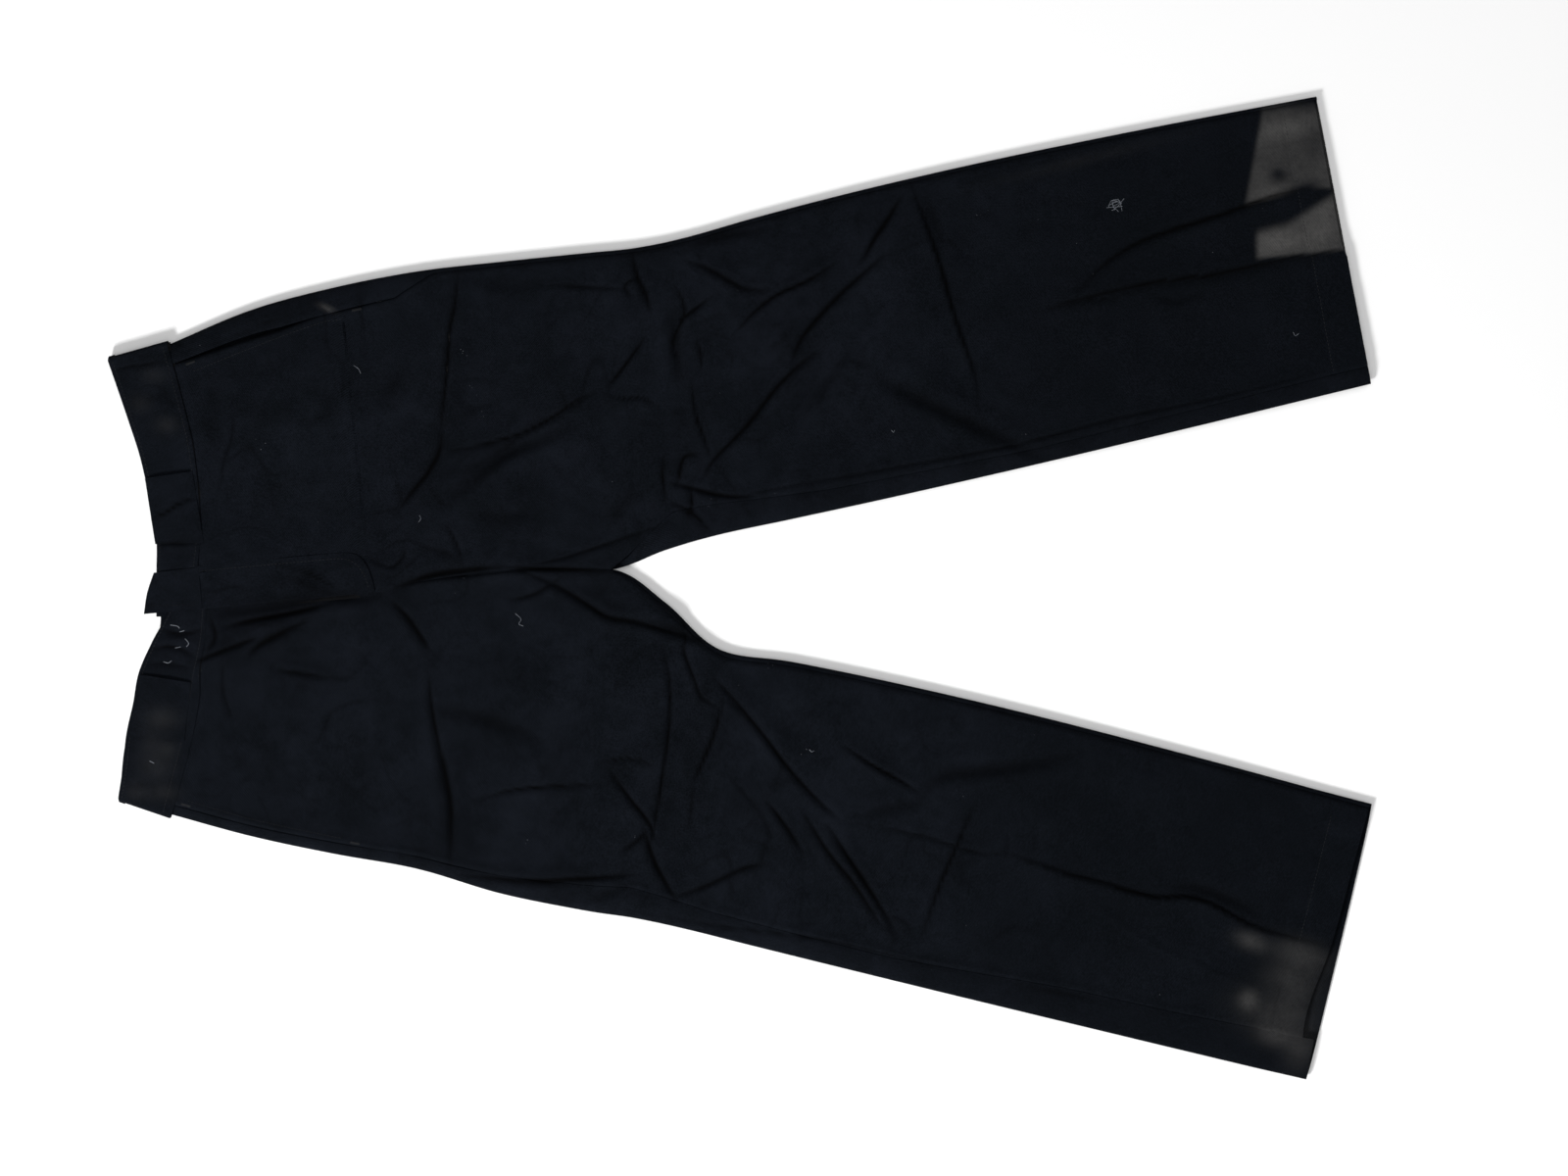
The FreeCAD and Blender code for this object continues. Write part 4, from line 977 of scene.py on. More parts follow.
def front_surface(leg, t, distance):
    """The front's upper surface before its seams are pressed in."""
    x, y, width = leg.place("front", t, distance)
    share = distance / width
    end = smoothstep(0.93, 1, t)
    z = leg.top(x, y, distance, width - distance)
    if leg.side == "right":
        down, across = down_across(x, y)
        z = z - 1.3 * np.exp(-((across - 5) / 9) ** 2) * (1 - smoothstep(135, 165, down))
        x = x - end * 10 * np.exp(-((share - 0.78) / 0.2) ** 2) - end * 3 * np.sin(np.pi * np.clip(share, 0,
                                                            1))
    else:
        z = z + fly_lift(x, y)
        x = x - end * 3 * smoothstep(288, 300, y)
    return x, y, z


def front_rows(leg, columns=126):
    side = leg.side
    t = np.linspace(0, 1, ROWS)
    ix, _, width = leg.place("front", t, 0.0)
    ox, _, _ = leg.place("front", t, width)
    near = np.where(ix > CROTCH[0], seam_in(side, "inner", ix), 0)[:, None]
    far = seam_in(side, "outer", ox)[:, None]
    width, t = width[:, None], t[:, None]
    distance = near + crowd(columns, 0.3)[None, :] * (width - near - far)
    x, y, z = front_surface(leg, t + 0 * distance, distance)
    mouth = smoothstep(-492, -480, x) * (1 - smoothstep(-330, -316, x))
    z = z + seam_furrow(width - distance - far, 1.1 + 0.8 * mouth)
    below = smoothstep(CROTCH[0], CROTCH[0] + 30, x)
    z = z + below * seam_furrow(distance - near, 1.1)
    z = z + smoothstep(-320, -300, x) * (1 - below) * seam_furrow(distance, 1.5)
    up_from_hem = (1 - t) * 1050
    z = z - 0.6 * np.exp(-((up_from_hem - 32) / 2.0) ** 2)
    z = z + 0.25 * np.sin(distance / 3.1) * np.exp(-((up_from_hem - 30) / 9.0) ** 2)
    z = z - 1.4 * np.exp(-(t * 1050 / 3.0) ** 2)
    return np.dstack([x, y, z])


def back_rows(leg, wrap=12, columns=46, count=300):
    side = leg.side
    t = np.linspace(0, 1, count)
    ix, iy, width = leg.place("back", t, 0.0)
    ox, _, _ = leg.place("back", t, width)
    below = smoothstep(CROTCH[0] - 4, CROTCH[0] + 26, ix)
    near = seam_in(side, "inner", ix) * below
    far = seam_in(side, "outer", ox)
    curl = np.linspace(1, 0, wrap, endpoint=False) ** 2
    mid = crowd(columns, 0.85)
    rows = []
    for distance, top in ((near[:, None] * curl[None, :], True), (mid[None, :] * width[:, None], False),
                          (width[:, None] - far[:, None] * curl[None, ::-1], True)):
        x, y, _ = leg.place("back", t[:, None] + 0 * distance, distance)
        over, under = (f(x, y, distance, width[:, None] - distance) for f in (leg.top, leg.under))
        inner_half = distance < width[:, None] / 2
        over = over - 0.5 * np.exp(-(np.where(inner_half, near[:, None] - distance,
                                              far[:, None] - width[:, None] + distance) / 1.4) ** 2)
        lift = np.where(inner_half & top, below[:, None], 1.0 if top else 0.0)
        z = lift * over + (1 - lift) * under
        if top:
            # Above the crotch the strip is the seat seam's allowance, turned up inside.
            tuck = (1 - below[:, None]) * inner_half * curl[None, :] if distance is not None else 0
            y = y + SIGN[side] * 5 * tuck
            z = z + 0.9 * tuck
        rows.append(np.dstack([x, y, z]))
    grid = np.concatenate(rows, axis=1)
    bow = (smoothstep(0.95, 1, t)[:, None] * np.sin(np.pi * np.linspace(0, 1, grid.shape[1]))[None, :])
    grid[:, :, 0] += (4 if side == "right" else 0.5) * bow
    return grid


cloth_on = {}
for side, leg in legs.items():
    cloth_on["front", side] = lay(f"front_{side}", front_rows(leg), stands_for=[f"front_panel_{side}"],
                                  fine=True)
    cloth_on["back", side] = lay(f"back_{side}", back_rows(leg), face="down",
                                 stands_for=[f"back_panel_{side}", f"inseam_{side}", f"outseam_{side}"])
    print(side, "leg:", len(cloth_on["front", side].data.polygons), len(cloth_on["back", side].data.polygons))

# %% [markdown]
# ## What lies inside the legs
# The hems are turned up three centimetres, so a second layer shows in each leg's mouth. Under the front
# and over the back lie the seam allowances and the pocket bags. Each follows the surface it is sewn to,
# a little way inside it, so one helper cuts a patch out of that surface.

# %% Patches that follow the front or the back
def patch(leg, which, t_range, distances, rise, shape):
    """distances is a function that gives the first and last distance in, from the width at each row."""
    rows, columns = shape
    t = np.linspace(*t_range, rows)
    _, _, width = leg.place(which, t, 0.0)
    first, last = distances(width)
    distance = first[:, None] + np.linspace(0, 1, columns)[None, :] * (last - first)[:, None]
    t = t[:, None] + 0 * distance
    if which == "front":
        x, y, z = front_surface(leg, t, distance)
    else:
        x, y, width = leg.place(which, t, distance)
        z = leg.under(x, y, distance, width - distance)
    return np.dstack([x, y, z + rise])


def inset(near, far):
    return lambda width: (0 * width + near, width - far)


def beside_outer(near, far):
    return lambda width: (width - far, width - near)


def beside_inner(near, far):
    return lambda width: (0 * width + near, 0 * width + far)


for side, leg in legs.items():
    far = 8 if side == "left" else 38
    lay(f"hem_turn_up_front_{side}", patch(leg, "front", (0.970, 0.999), inset(18, far), -1.05, (14, 70)),
        stands_for=[f"hem_front_{side}"], thick=0.7)
    lay(f"hem_turn_up_back_{side}", patch(leg, "back", (0.970, 0.998), inset(9, 9), 0.95, (14, 70)),
        stands_for=[f"hem_back_{side}"], thick=0.7)
    start, mouth, end = (leg.share_at("front", x) for x in (-478, -330, -225))
    near = 26 if side == "left" else 30
    for which, rise in (("front", -1.15), ("back", -1.75)):
        rows = patch(leg, "front", (start, end), beside_outer(near, 118), rise, (60, 30))
        lay(f"pocket_bag_{which}_{side}", rows, slot="pocketing", thick=0.45,
            face="up" if which == "front" else "down",
            stands_for=[f"side_pocket_bag_{which}_{side}"] + ([f"side_pocket_bag_seam_{side}"] * (which == "back")))
print("hems and side pocket bags laid")

# %% Front rise and seat seam allowances
def pressed_open(which, rise, x_range, wide=7):
    halves = []
    for side, leg in legs.items():
        t_range = [leg.share_at(which, x) for x in x_range]
        halves.append(patch(leg, which, t_range, beside_inner(0.2, wide), rise, (60, 6)))
    left, right = halves
    return np.concatenate([left[:, ::-1], right], axis=1)


lay("front_rise_allowance", pressed_open("front", -1.0, (-250, -125)), stands_for=["front_rise_seam"],
    thick=0.6)
lay("seat_seam_allowance", pressed_open("back", 1.1, (-440, -125)), stands_for=["seat_seam"], thick=0.6)
print("allowances pressed open")

# %% [markdown]
# ## Back pockets
# Each back pocket is a slit bound with a narrow welt, with its bag behind it and one button. They lie
# underneath, against the table, so the welt is a thin strip just under the back cloth.

# %% Welts and back bags
def fly_patch(downs, acrosses, height, shape):
    """A patch measured in the fly's directions; height is a function of down and across."""
    down, across = np.meshgrid(np.linspace(*downs, shape[0]), np.linspace(*acrosses, shape[1]), indexing="ij")
    x, y = fly(down, across)
    return np.dstack([x, y, height(down, across) + 0 * x])


def back_height(rise):
    def height(down, across):
        x, y = fly(down, across)
        leg = legs["left" if np.mean(across) > 0 else "right"]
        return leg.under(x, y, 99 + 0 * x, 99 + 0 * x) + rise
    return height


for side, sign in SIGN.items():
    reach = (sign * 53, sign * 194)
    lay(f"back_welt_{side}", fly_patch((69, 86), reach, back_height(-0.42), (8, 40)), face="down", thick=0.4,
        stands_for=[f"back_pocket_welt_{side}"])
    lay(f"back_bag_{side}", fly_patch((60, 210), reach, back_height(1.5), (30, 30)), slot="pocketing",
        thick=0.6,
        stands_for=[f"back_pocket_bag_{side}"])
print("back pockets laid")

# %% [markdown]
# ## Waistband
# The band is one strip that runs from the fly round the left side, behind, round the right side and
# back to the fly. Its lower edge is sewn to the trousers and its top edge is rolled over to the inside.
# The strip is laid station by station: across each station go the outer face, the roll and a turned-in
# margin. A stiffener and a lining follow the same path a little further in.

# %% The band's path
BAND_SAG = {"front_left": 16, "fly_end": 30, "right_side": 9, "back": 18}   # how far the top edge drops
BAND_SEAM_SAG = {"left": 4, "fly_end": 7}


def band_edge(node, high, sag, count=8):
    """One edge of a CAD band piece, with the places where the cloth has dropped."""
    line = sorted((q for q in corners(node) if (q[0] < -505) == high), key=lambda q: q[1])
    y = np.linspace(line[0][1], line[-1][1], count)
    return list(zip(np.interp(y, [q[1] for q in line], [q[0] for q in line]) + sag(y), y))


def right_sag(y):
    return BAND_SAG["fly_end"] * smoothstep(-80, 0, y) + BAND_SAG["right_side"] * smoothstep(-130, -175, y)


def back_sag(y):
    left_half = BAND_SAG["back"] * (1 - np.clip((y - 13) / 184, 0, 1) ** 1.5)
    return left_half * smoothstep(-130, -40, y) + BAND_SAG["right_side"] * smoothstep(-130, -175, y)


LOW_LEFT = band_edge("waistband_front_left", False,
                     lambda y: BAND_SEAM_SAG["left"] * np.sin(np.pi * (y - 18) / 193))
HIGH_LEFT = band_edge("waistband_front_left", True,
                      lambda y: BAND_SAG["front_left"] * (1 - np.clip((y - 13) / 184, 0, 1) ** 1.5))
LOW_RIGHT = band_edge("waistband_front_right", False,
                      lambda y: BAND_SEAM_SAG["fly_end"] * smoothstep(-70, -34, y))
HIGH_RIGHT = band_edge("waistband_front_right", True, right_sag)
LOW_BACK = band_edge("waistband_back", False, lambda y: 0 * y)[::-1]
HIGH_BACK = band_edge("waistband_back", True, back_sag)[::-1]


def band_path():
    """Lower point, upper point, level (1 front, -1 back), sideways bulge and side for each station."""
    stations = []

    def flat(low, high, level, count):
        for a, b in zip(smooth_line(low, count), smooth_line(high, count)):
            stations.append((a, b, level, 0.0, 0))

    def turn(low, high, side, rising):
        for angle in np.linspace(0, math.pi, 11)[1:-1]:
            level = -math.cos(angle) if rising else math.cos(angle)
            stations.append((np.array(low), np.array(high), level, math.sin(angle), side))

    flat(LOW_LEFT, HIGH_LEFT, 1, 100)
    turn(LOW_LEFT[-1], HIGH_LEFT[-1], 1, False)
    flat(LOW_BACK, HIGH_BACK, -1, 110)
    turn(LOW_RIGHT[0], HIGH_RIGHT[0], -1, True)
    flat(LOW_RIGHT, HIGH_RIGHT, 1, 100)
    return stations


BAND_MIDDLE = 6.3          # half way between the outer faces of the front and the back
stations = band_path()


def band_rows(half, bulge, low_gap, high_gap, rolled, columns=24):
    """half is how far this layer lies from the band's middle, bulge how far it swings out at the sides."""
    low, high = (np.array([station[k] for station in stations]) for k in (0, 1))
    level, sideways, side = (np.array([station[k] for station in stations], float)[:, None] for k in (2, 3,
                                                            4))
    length = np.linalg.norm(high - low, axis=1)[:, None]
    along = (high - low) / length
    if rolled:
        low_gap = low_gap - 4.2 * np.clip(level, 0, 1) * (1 - smoothstep(-96, -64, low[:, 1:]))
    up = low_gap + (length - high_gap - low_gap) * np.linspace(0, 1, columns)[None, :]
    x, y = low[:, :1] + along[:, :1] * up, low[:, 1:] + along[:, 1:] * up
    front = np.clip(level, 0, 1)
    lift = 2.7 * np.exp(-((y - 18) / 15) ** 2) * (y > -5)
    z = BAND_MIDDLE + half * level + front * (lift + 0.8 * wrinkles(x, y) + 0.22 * ripple(x, y, 31, 16, 60))
    z = z + (1 - front) * 0.1 * ripple(x, y, 32, 30, 90)
    z = z + level * (0.5 * np.exp(-((up - 1.5) / 2.2) ** 2) - 0.8 * np.clip(1 - (length - up) / 3, 0, 1) ** 2)
    grid = np.dstack([x, y + side * sideways * bulge, z])
    if rolled:
        edge = grid[:, -1]
        turned = [np.column_stack([edge[:, 0] + along[:, 0] * out, edge[:, 1] + along[:, 1] * out,
                                   edge[:, 2] - level[:, 0] * drop])
                  for out, drop in ((0.7, 0.35), (0.9, 0.8), (0.5, 1.25), (-2.0, 1.5), (-5.0, 1.6))]
        grid = np.concatenate([grid, np.stack(turned, axis=1)], axis=1)
    return grid


waistband = lay("waistband", band_rows(4.5, 3.4, -1.2, 0.0, True), face="start",
                stands_for=["waistband_front_left", "waistband_front_right", "waistband_back",
                            "waistband_side_seams"])
lay("waistband_stiffening", band_rows(3.4, 2.4, 2.0, 4.0, False), slot="stiffener", face="start", thick=0.4,
    stands_for=["waistband_stiffener_front_left", "waistband_stiffener_front_right",
                "waistband_stiffener_back"])
lay("waistband_lining", band_rows(2.85, 1.8, -3.0, 6.0, False), slot="pocketing", face="start", thick=0.4,
    stands_for=["waistband_lining_front_left", "waistband_lining_front_right", "waistband_lining_back"])
print("waistband stations:", len(stations))

# %% [markdown]
# ## Fly flap and tab
# The left front folds off into the flap that hides the zip, and the end of the waistband becomes a tab
# with the hook under it. Both lift with the fly. Their hinge edge is blended between the trousers and the
# moving flap, so the cloth bends there instead of tearing.

# %% Flap with its curved end
FLAP_OUTER = [(-1, 37), (60, 36.8), (119, 36.6), (134, 35.2), (142, 30.8), (148, 21), (151, 9), (152, 1)]


def flap_height(down, across):
    free_edge = 0.35 * (1 - smoothstep(0, 9, across))
    return pull_room(*fly(down, across)) + 12.35 + 0.7 * np.exp(-np.clip(down, 0,
                                                            None) / 25) - free_edge + 0.18 * ripple(down,
                                                            across, 41, 18, 60)


def flap_rows(count=76):
    outer = smooth_line(FLAP_OUTER, count)
    rows = []
    for (down, across), free in zip(outer, np.linspace(-1, 151.5, count)):
        row = []
        for share in np.linspace(0, 1, 20):
            d, a = free + (down - free) * share, across * share
            row.append((*fly(d, a), float(flap_height(d, a))))
        x, y, z = row[0]
        width = min(1.0, across / 12)
        turned = [(*fly(free, 4 * width), z - 1.0), (*fly(free, 1.5 * width), z - 1.0),
                  (*fly(free, -0.5 * width), z - 0.55)]
        rows.append(turned + row)
    return np.array(rows)


hinge_bend = [tuple(c * MM for c in (*fly(70, across), 12.0)) for across in (38, 27)]
flap = lay("fly_flap_cloth", flap_rows(), body="fly_flap", stands_for=["fly_flap"], blend=hinge_bend,
           flat=(44, 172))

# %% Tab of the waistband
TAB_LOW = band_edge("waistband_tab", False, lambda y: 2 + 0 * y, 3)[::-1]
TAB_HIGH = band_edge("waistband_tab", True, lambda y: 1 + 14 * smoothstep(-22, 24, y), 3)[::-1]


def tab_rows(rise, shrink, count=26):
    rows = []
    for low, high in zip(smooth_line(TAB_LOW, count), smooth_line(TAB_HIGH, count)):
        row = []
        for share in np.linspace(shrink, 1 - shrink, 22):
            x, y = low + (high - low) * share
            z = 13.35 + 0.85 * smoothstep(0.05, 0.6, share) + 0.25 * ripple(x, y, 43, 12, 40)
            row.append((x, y, z + rise - 0.5 * max(0, (share - 0.93) / 0.07) ** 2))
        rows.append(row)
    return np.array(rows)


tab = lay("tab_cloth", tab_rows(0.1, 0.0), body="fly_flap", stands_for=["waistband_tab"], blend=hinge_bend)
lay("tab_lining", tab_rows(-0.75, 0.04), body="fly_flap", slot="pocketing", thick=0.3,
    stands_for=["waistband_tab_lining"], blend=hinge_bend)
print("flap and tab laid")

# %% [markdown]
# ## Behind the zip
# The facing backs the flap and carries the left zip tape. The right tape is sewn to the right front, and
# a shield lies under both rows so that the zip never touches the wearer.

# %% Facing, tapes and shield
lay("facing_cloth", fly_patch((1, 118), (3, 33), lambda d, a: 11.15 - 0.012 * a, (30, 12)), body="fly_flap",
    slot="pocketing", thick=0.45, stands_for=["fly_facing"])
lay("zip_tape_cloth_left", fly_patch((0.6, 117.5), (16.8, 31), lambda d,
                                     a: 6.0 + 4.5 * smoothstep(19, 31, a), (50, 12)),
    body="fly_flap", slot="zip_tape", thick=0.5, stands_for=["zip_tape_left"])
lay("zip_tape_cloth_right", fly_patch((0.6, 141), (-3.6, 9.2), lambda d,
                                      a: 6.0 + 1.9 * (1 - smoothstep(-3.6, 5, a)), (60, 12)),
    slot="zip_tape", thick=0.5, stands_for=["zip_tape_right"])
lay("shield_cloth", fly_patch((3, 149), (-4, 33), lambda d, a: 3.3 + 4.2 * (1 - smoothstep(-4, 1.5, a)),
                              (40, 16)),
    stands_for=["fly_shield"], thick=0.7)
print("fly layers laid")

# %% [markdown]
# ## Belt loops
# Two wide tunnel loops cross the front of the band. A belt slides through them sideways, so each is sewn
# along its top and bottom and arches a little between. Three narrow loops lie pressed flat at the back.

# %% Tunnel loops and back loops
def loop_rows(corner_lines, arch, base, shape=(24, 24)):
    """corner_lines: low and high end of the first side, then of the second side."""
    (low_a, high_a), (low_b, high_b) = np.array(corner_lines, float)
    rows = []
    for share in np.linspace(0, 1, shape[0]):
        low, high = low_a + (low_b - low_a) * share, high_a + (high_b - high_a) * share
        row = []
        for up in np.linspace(0, 1, shape[1]):
            x, y = low + (high - low) * up
            z = base + arch * math.sin(math.pi * up) ** 0.6 + 0.3 * ripple(x, y, 47, 14, 40)
            row.append((x, y, z))
        rows.append(row)
    return np.array(rows)


left_loop = loop_rows([((-465, 39), (-507, 38)), ((-475, 101), (-516, 95))], 1.5, 11.9)
crease, side_of, _ = line_distance(left_loop[:, :, 0], left_loop[:, :, 1], np.array([(-508, 63), (-470, 77)]))
left_loop[:, :, 2] += 0.8 * smoothstep(-1.5, 1.5, -side_of * crease) * np.exp(-crease / 14)
right_loop = loop_rows([((-476, -82), (-520, -75)), ((-482, -133), (-530, -128))], 1.4, 11.9)
tunnel = {"left": lay("tunnel_loop_left", left_loop, stands_for=["front_belt_loop_left"]),
          "right": lay("tunnel_loop_right", right_loop, stands_for=["front_belt_loop_right"])}
for name, y in (("left", 108), ("centre", -18), ("right", -125)):
    x = float(np.interp(abs(y + 18), [0, 110, 130], [-468, -476, -478]))
    rows = loop_rows([((x, y - 6), (x - 40, y - 7)), ((x, y + 6), (x - 40, y + 5))], -0.1, 0.75, (6, 16))
    lay(f"back_loop_{name}", rows, face="down", thick=0.4, stands_for=[f"back_belt_loop_{name}"])
print("five loops")

# %% [markdown]
# ## Stitching
# A row of topstitching is one small stitch, modelled once and copied along a line. Each copy is dropped
# onto the cloth by casting a ray down to it, so the row follows every fold.

# %% Stitch rows
def make_stitch():
    """One stitch: a short thread that dips at both ends."""
    bpy.ops.object.select_all(action="DESELECT")
    bpy.ops.mesh.primitive_uv_sphere_add(segments=6, ring_count=4, radius=1.0)
    stitch = bpy.context.object
    points = np.array([v.co for v in stitch.data.vertices])[:, [2, 0, 1]]
    faces = [tuple(p.vertices) for p in stitch.data.polygons]
    bpy.data.objects.remove(stitch)
    return points, faces


stitch_points, stitch_faces = make_stitch()


def drop(cloth_piece, x, y, above=True):
    """The height of the cloth at a place, or None beside it."""
    start, way = (0.1, -1) if above else (-0.1, 1)
    hit, where, _, _ = cloth_piece.ray_cast(Vector((x * MM, y * MM, start)), Vector((0, 0, way)))
    return where.z / MM if hit else None


def stitch_row(name, cloth_piece, line, pitch=3.2, long=2.3, thick=0.42, body="trousers", blend=None,
               slot="thread",
               crosswise=False, stands_for=()):
    line = np.array(line, float)
    run = np.concatenate([[0], np.cumsum(np.linalg.norm(np.diff(line, axis=0), axis=1))])
    points, faces = [], []
    bpy.context.view_layer.update()
    for at in np.arange(pitch / 2, run[-1], pitch):
        x, y = (np.interp(at, run, line[:, k]) for k in (0, 1))
        k = min(int(np.searchsorted(run, at)), len(line) - 1)
        way = line[k] - line[k - 1]
        way = way / np.linalg.norm(way)
        z = drop(cloth_piece, x, y)
        if z is None:
            continue
        if crosswise:
            way = np.array([-way[1], way[0]])
        side = np.array([-way[1], way[0]])
        shape = stitch_points * (long / 2, thick / 2, thick / 2)
        base = len(points)
        for along, across, up in shape:
            px, py = np.array([x, y]) + way * along + side * across
            points.append((px * MM, py * MM, (z + 0.05 + up) * MM))
        faces += [tuple(base + i for i in face) for face in stitch_faces]
    mesh = bpy.data.meshes.new(name)
    mesh.from_pydata(points, [], faces)
    mesh.shade_smooth()
    mesh.materials.append(finish[slot])
    obj = bpy.data.objects.new(name, mesh)
    bpy.context.collection.objects.link(obj)
    mesh.uv_layers.new(name="UVMap")
    if stands_for:
        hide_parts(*stands_for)
    if blend:
        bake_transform(obj, "trousers", body, *blend)
    else:
        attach(obj, body)
    return obj


finish["worn_thread"] = cloth("Worn thread", srgb(18, 18, 20), srgb(38, 38, 40), pitch=0.0005, lint=0.0,
                              wrinkle=0.1)


def along_front(side, t_range, distances, count=120):
    """A line on the front: share down the leg against distance from the inner edge."""
    leg = legs[side]
    t = np.linspace(*t_range, count)
    _, _, width = leg.place("front", t, 0.0)
    distance = distances(t, width)
    x, y, _ = front_surface(leg, t, distance)
    return np.column_stack([x, y])


for side, leg in legs.items():
    hem = leg.share_at("front", 1e3) - 30 / 1050
    far = 6 if side == "left" else 38
    _, _, hem_width = leg.place("front", np.array([hem]), 0.0)
    line = along_front(side, (hem, hem), lambda t, w: np.linspace(18, hem_width[0] - far, len(t)))
    stitch_row(f"hem_stitches_{side}", cloth_on["front", side], line)
    t_mouth = [leg.share_at("front", x) for x in (-470, -335)]
    offset = seam_in(side, "outer", -400) + 6
    stitch_row(f"pocket_stitches_{side}", cloth_on["front", side],
               along_front(side, t_mouth, lambda t, w: w - offset))
band_lines = {"left": (smooth_line(LOW_LEFT, 60), smooth_line(HIGH_LEFT, 60)),
              "right": (smooth_line(LOW_RIGHT[:-1], 60), smooth_line(HIGH_RIGHT[:-1], 60))}
for side, (low, high) in band_lines.items():
    for name, share in (("lower", 0.06), ("upper", 0.94)):
        stitch_row(f"band_stitches_{name}_{side}", waistband, low + (high - low) * share)
inset_flap = [(0, 32.5), (60, 32.3), (112, 32), (128, 31), (137, 26.5), (143, 18), (146, 9), (147, 3)]
stitch_row("fly_stitches", flap, [fly(*p) for p in smooth_line(inset_flap, 80)], body="fly_flap",
           blend=hinge_bend)
stitch_row("tab_end_stitches", tab, smooth_line([(-472, -14.5), (-494, -14.8), (-515, -15.2)], 20), pitch=2.4,
           long=1.9, body="fly_flap", slot="worn_thread")
print("stitch rows sewn")

# %% Bar tacks at the ends of the pocket mouths
tack_lines = []
for side in SIGN:
    for x in (-474, -326):
        leg = legs[side]
        t = leg.share_at("front", x)
        offset = seam_in(side, "outer", x) + 3
        tack_lines.append(along_front(side, (t, t + 0.008), lambda t_, w: w - offset, 12))
for number, (line, side) in enumerate(zip(tack_lines, ("left", "left", "right", "right"))):
    stitch_row(f"bar_tack_{number + 1}", cloth_on["front", side], line, pitch=0.55, long=2.4, thick=0.5,
               crosswise=True, stands_for=["bar_tacks"] if number == 0 else ())
print("bar tacks:", len(tack_lines))

# %% [markdown]
# ## Metal and buttons
# The hook, bar, zip teeth, stops, slider, pull and buttons keep the frame's own shapes, which are already
# exact, and take their finishes.

# %% Finishes on the hard pieces
HARD = {"zip_metal": ["zip_teeth_left", "zip_teeth_right", "zip_bottom_stop", "zip_top_stop_left",
                      "zip_top_stop_right", "zip_slider", "zip_pull"],
        "hook_metal": ["trouser_hook", "trouser_bar", "hook_backing_plate", "bar_backing_plate"],
        "button_plastic": ["back_pocket_buttons"]}
for slot_name, names in HARD.items():
    for name in names:
        for material_slot in nodes[name].material_slots:
            material_slot.material = finish[slot_name]
print("hard pieces finished:", sum(len(names) for names in HARD.values()))

# %% [markdown]
# ## Lint
# A few loose fibres lie on the cloth. Each is a curve of a few points with a hair-thin bevel, turned into
# a mesh, and every point is dropped onto the cloth first.

# %% Loose fibres
def fibres(name, cloth_piece, strands, thick):
    curve = bpy.data.curves.new(name, "CURVE")
    curve.dimensions = "3D"
    curve.bevel_depth = thick * MM
    curve.bevel_resolution = 1
    for strand in strands:
        places = [(x, y, drop(cloth_piece, x, y)) for x, y in smooth_line(strand, 3 * len(strand))]
        places = [p for p in places if p[2] is not None]
        if len(places) < 2:
            continue
        spline = curve.splines.new("POLY")
        spline.points.add(len(places) - 1)
        for point, (x, y, z) in zip(spline.points, places):
            point.co = (x * MM, y * MM, (z + 0.25) * MM, 1)
    obj = bpy.data.objects.new(name, curve)
    bpy.context.collection.objects.link(obj)
    bpy.ops.object.select_all(action="DESELECT")
    obj.select_set(True)
    bpy.context.view_layer.objects.active = obj
    bpy.ops.object.convert(target="MESH")
    obj = bpy.context.object
    obj.data.materials.clear()
    obj.data.materials.append(finish["lint"])
    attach(obj, "trousers")
    return obj


finish["lint"] = cloth("Pale lint", srgb(92, 96, 104), srgb(150, 154, 160), pitch=0.0005, lint=0.0,
                       wrinkle=0.1)
tangle_rng = np.random.default_rng(8)
tangle = []
for _ in range(9):
    turn = tangle_rng.normal(1.3, 0.7)
    middle = np.array([327, 333]) + tangle_rng.normal(0, 1.8, 2)
    reach = tangle_rng.uniform(3, 8)
    way = np.array([math.cos(turn), math.sin(turn)])
    bend = tangle_rng.normal(0, 2, 2)
    tangle.append([tuple(middle - way * reach), tuple(middle + bend), tuple(middle + way * reach)])
fibres("lint_left", cloth_on["front", "left"],
       tangle + [[(-335, 193), (-331, 190), (-329, 186)], [(480, 222), (482, 219), (485, 221)],
                 [(131, 137), (133, 135), (134, 137)], [(-279, 57), (-277, 60), (-278, 63)]], 0.2)
fibres("lint_right", cloth_on["front", "right"],
       [[(-195, -22), (-190, -27), (-192, -31), (-188, -33)], [(-25, -286), (-20, -289), (-15, -291)],
        [(60, -140), (62, -142), (64, -141)]], 0.24)
fibres("lint_band", waistband,
       [[(-494, -32), (-488, -33), (-486, -35)], [(-481, -44), (-478, -48), (-480, -51)],
        [(-490, -52), (-485, -51)], [(-500, -64), (-496, -65), (-493, -63)], [(-486, -38), (-482, -37)],
        [(-512, -150), (-508, -152)]], 0.3)
print("lint placed")

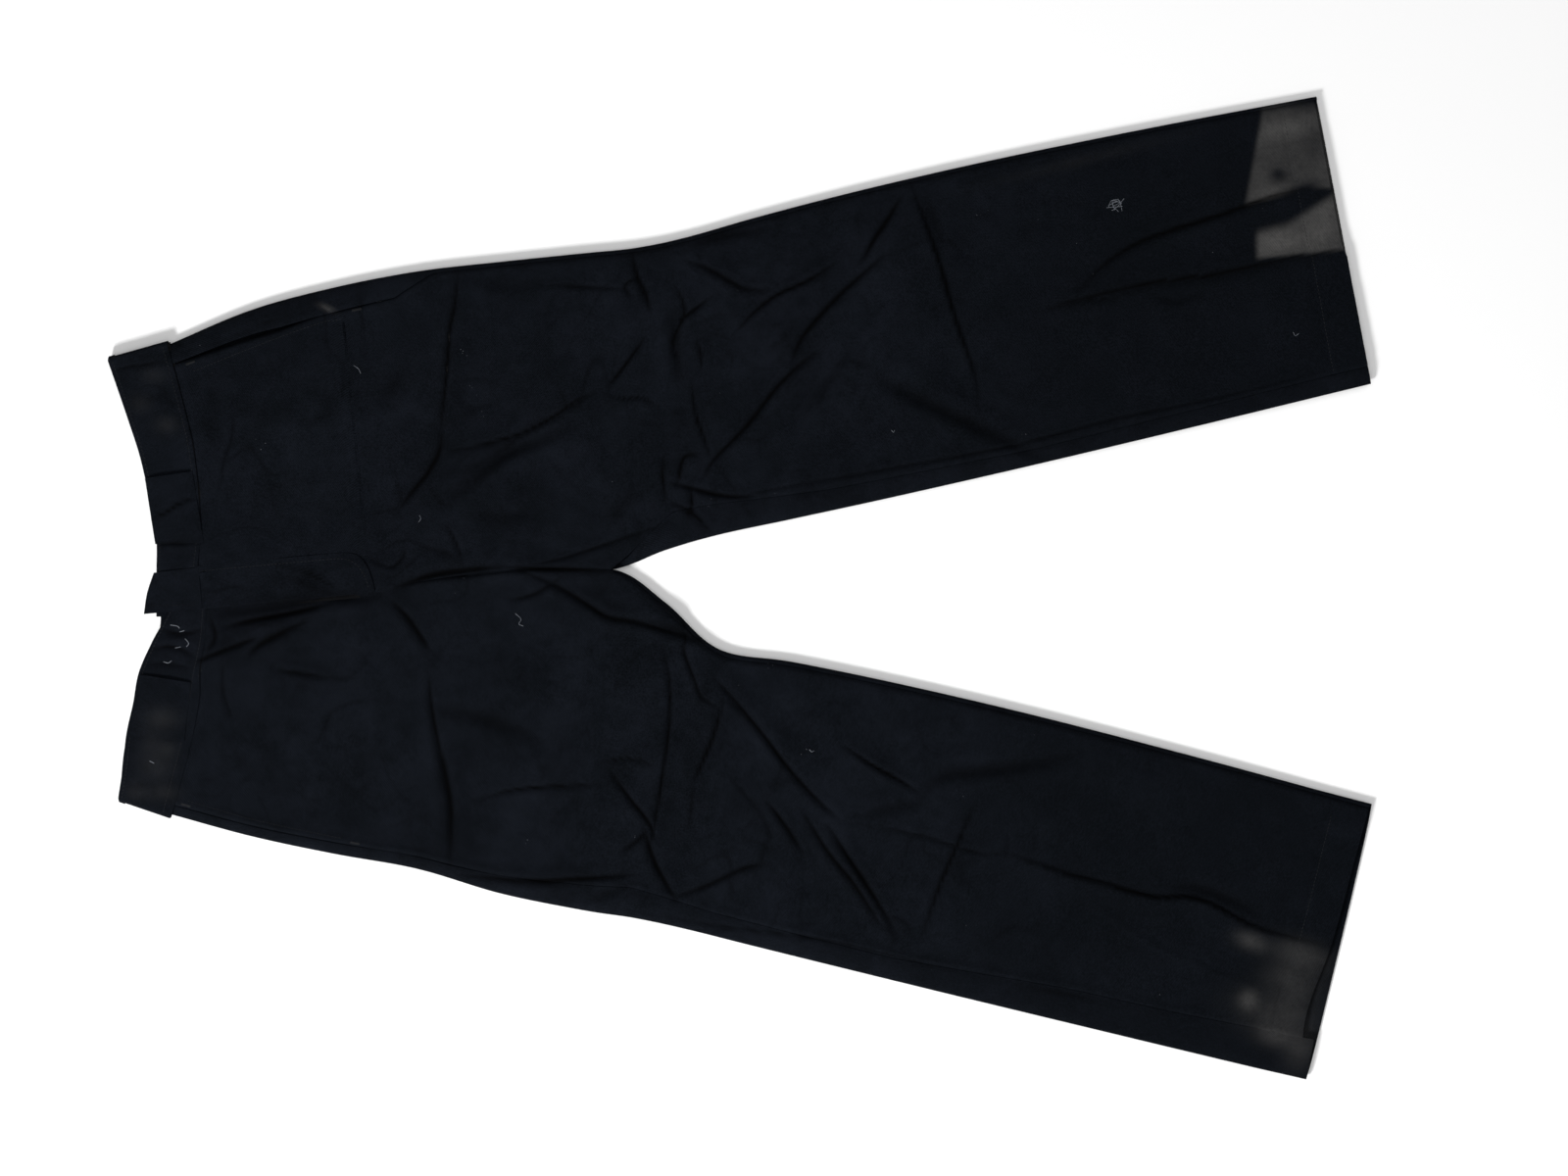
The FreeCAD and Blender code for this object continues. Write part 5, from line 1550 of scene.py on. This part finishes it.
# %% [markdown]
# ## Floor, light and camera
# The trousers lie on a plain white floor under wide, soft lights, and the camera looks straight down.
# One large light stands beyond the waist on the wearer's right, so folds get a lit side and a dark side,
# and a weaker one
# fills from the other side.

# %% Stage
def make_stage():
    bpy.ops.object.select_all(action="DESELECT")
    bpy.ops.mesh.primitive_plane_add(size=8, location=(0, 0, -0.0006))
    floor = bpy.context.object
    floor.name = "floor"
    material = bpy.data.materials.new("White floor")
    material.use_nodes = True
    tree = material.node_tree
    shader = tree.nodes["Principled BSDF"]
    grain = add(tree, "ShaderNodeTexNoise", Scale=3.0, Detail=2.0)
    tree.links.new(mix_colour(tree, grain.outputs["Fac"], srgb(247, 247, 247), srgb(250, 250, 250)),
                   shader.inputs["Base Color"])
    shader.inputs["Roughness"].default_value = 0.9
    shader.inputs["Specular IOR Level"].default_value = 0.1
    floor.data.materials.append(material)
    return floor


def make_light(name, place, aim, size, watts, spread=180):
    light = bpy.data.lights.new(name, "AREA")
    light.shape = "DISK"
    light.size = size
    light.energy = watts
    light.spread = math.radians(spread)
    lamp = bpy.data.objects.new(name, light)
    bpy.context.collection.objects.link(lamp)
    lamp.location = place
    lamp.rotation_euler = (Vector(aim) - Vector(place)).to_track_quat("-Z", "Y").to_euler()
    return lamp


make_stage()
make_light("key", (-1.3, -2.1, 1.7), (0.0, 0.0, 0.0), 0.7, 105)
make_light("fill", (1.9, 1.9, 1.9), (0.0, 0.0, 0.0), 1.8, 12)
make_light("overhead", (0.0, 0.0, 3.4), (0.0, 0.0, 0.0), 3.0, 36)
world = bpy.data.worlds.new("Studio")
world.use_nodes = True
world.node_tree.nodes["Background"].inputs["Color"].default_value = (1, 1, 1, 1)
world.node_tree.nodes["Background"].inputs["Strength"].default_value = 0.3
bpy.context.scene.world = world

camera = bpy.data.objects.new("camera", bpy.data.cameras.new("camera"))
bpy.context.collection.objects.link(camera)
camera.location = (0.038, 0.0, 3.0)
camera.data.lens = 36 * 2.99 / 1.36
bpy.context.scene.camera = camera
bpy.context.scene.view_settings.view_transform = "Standard"
print("camera straight above")
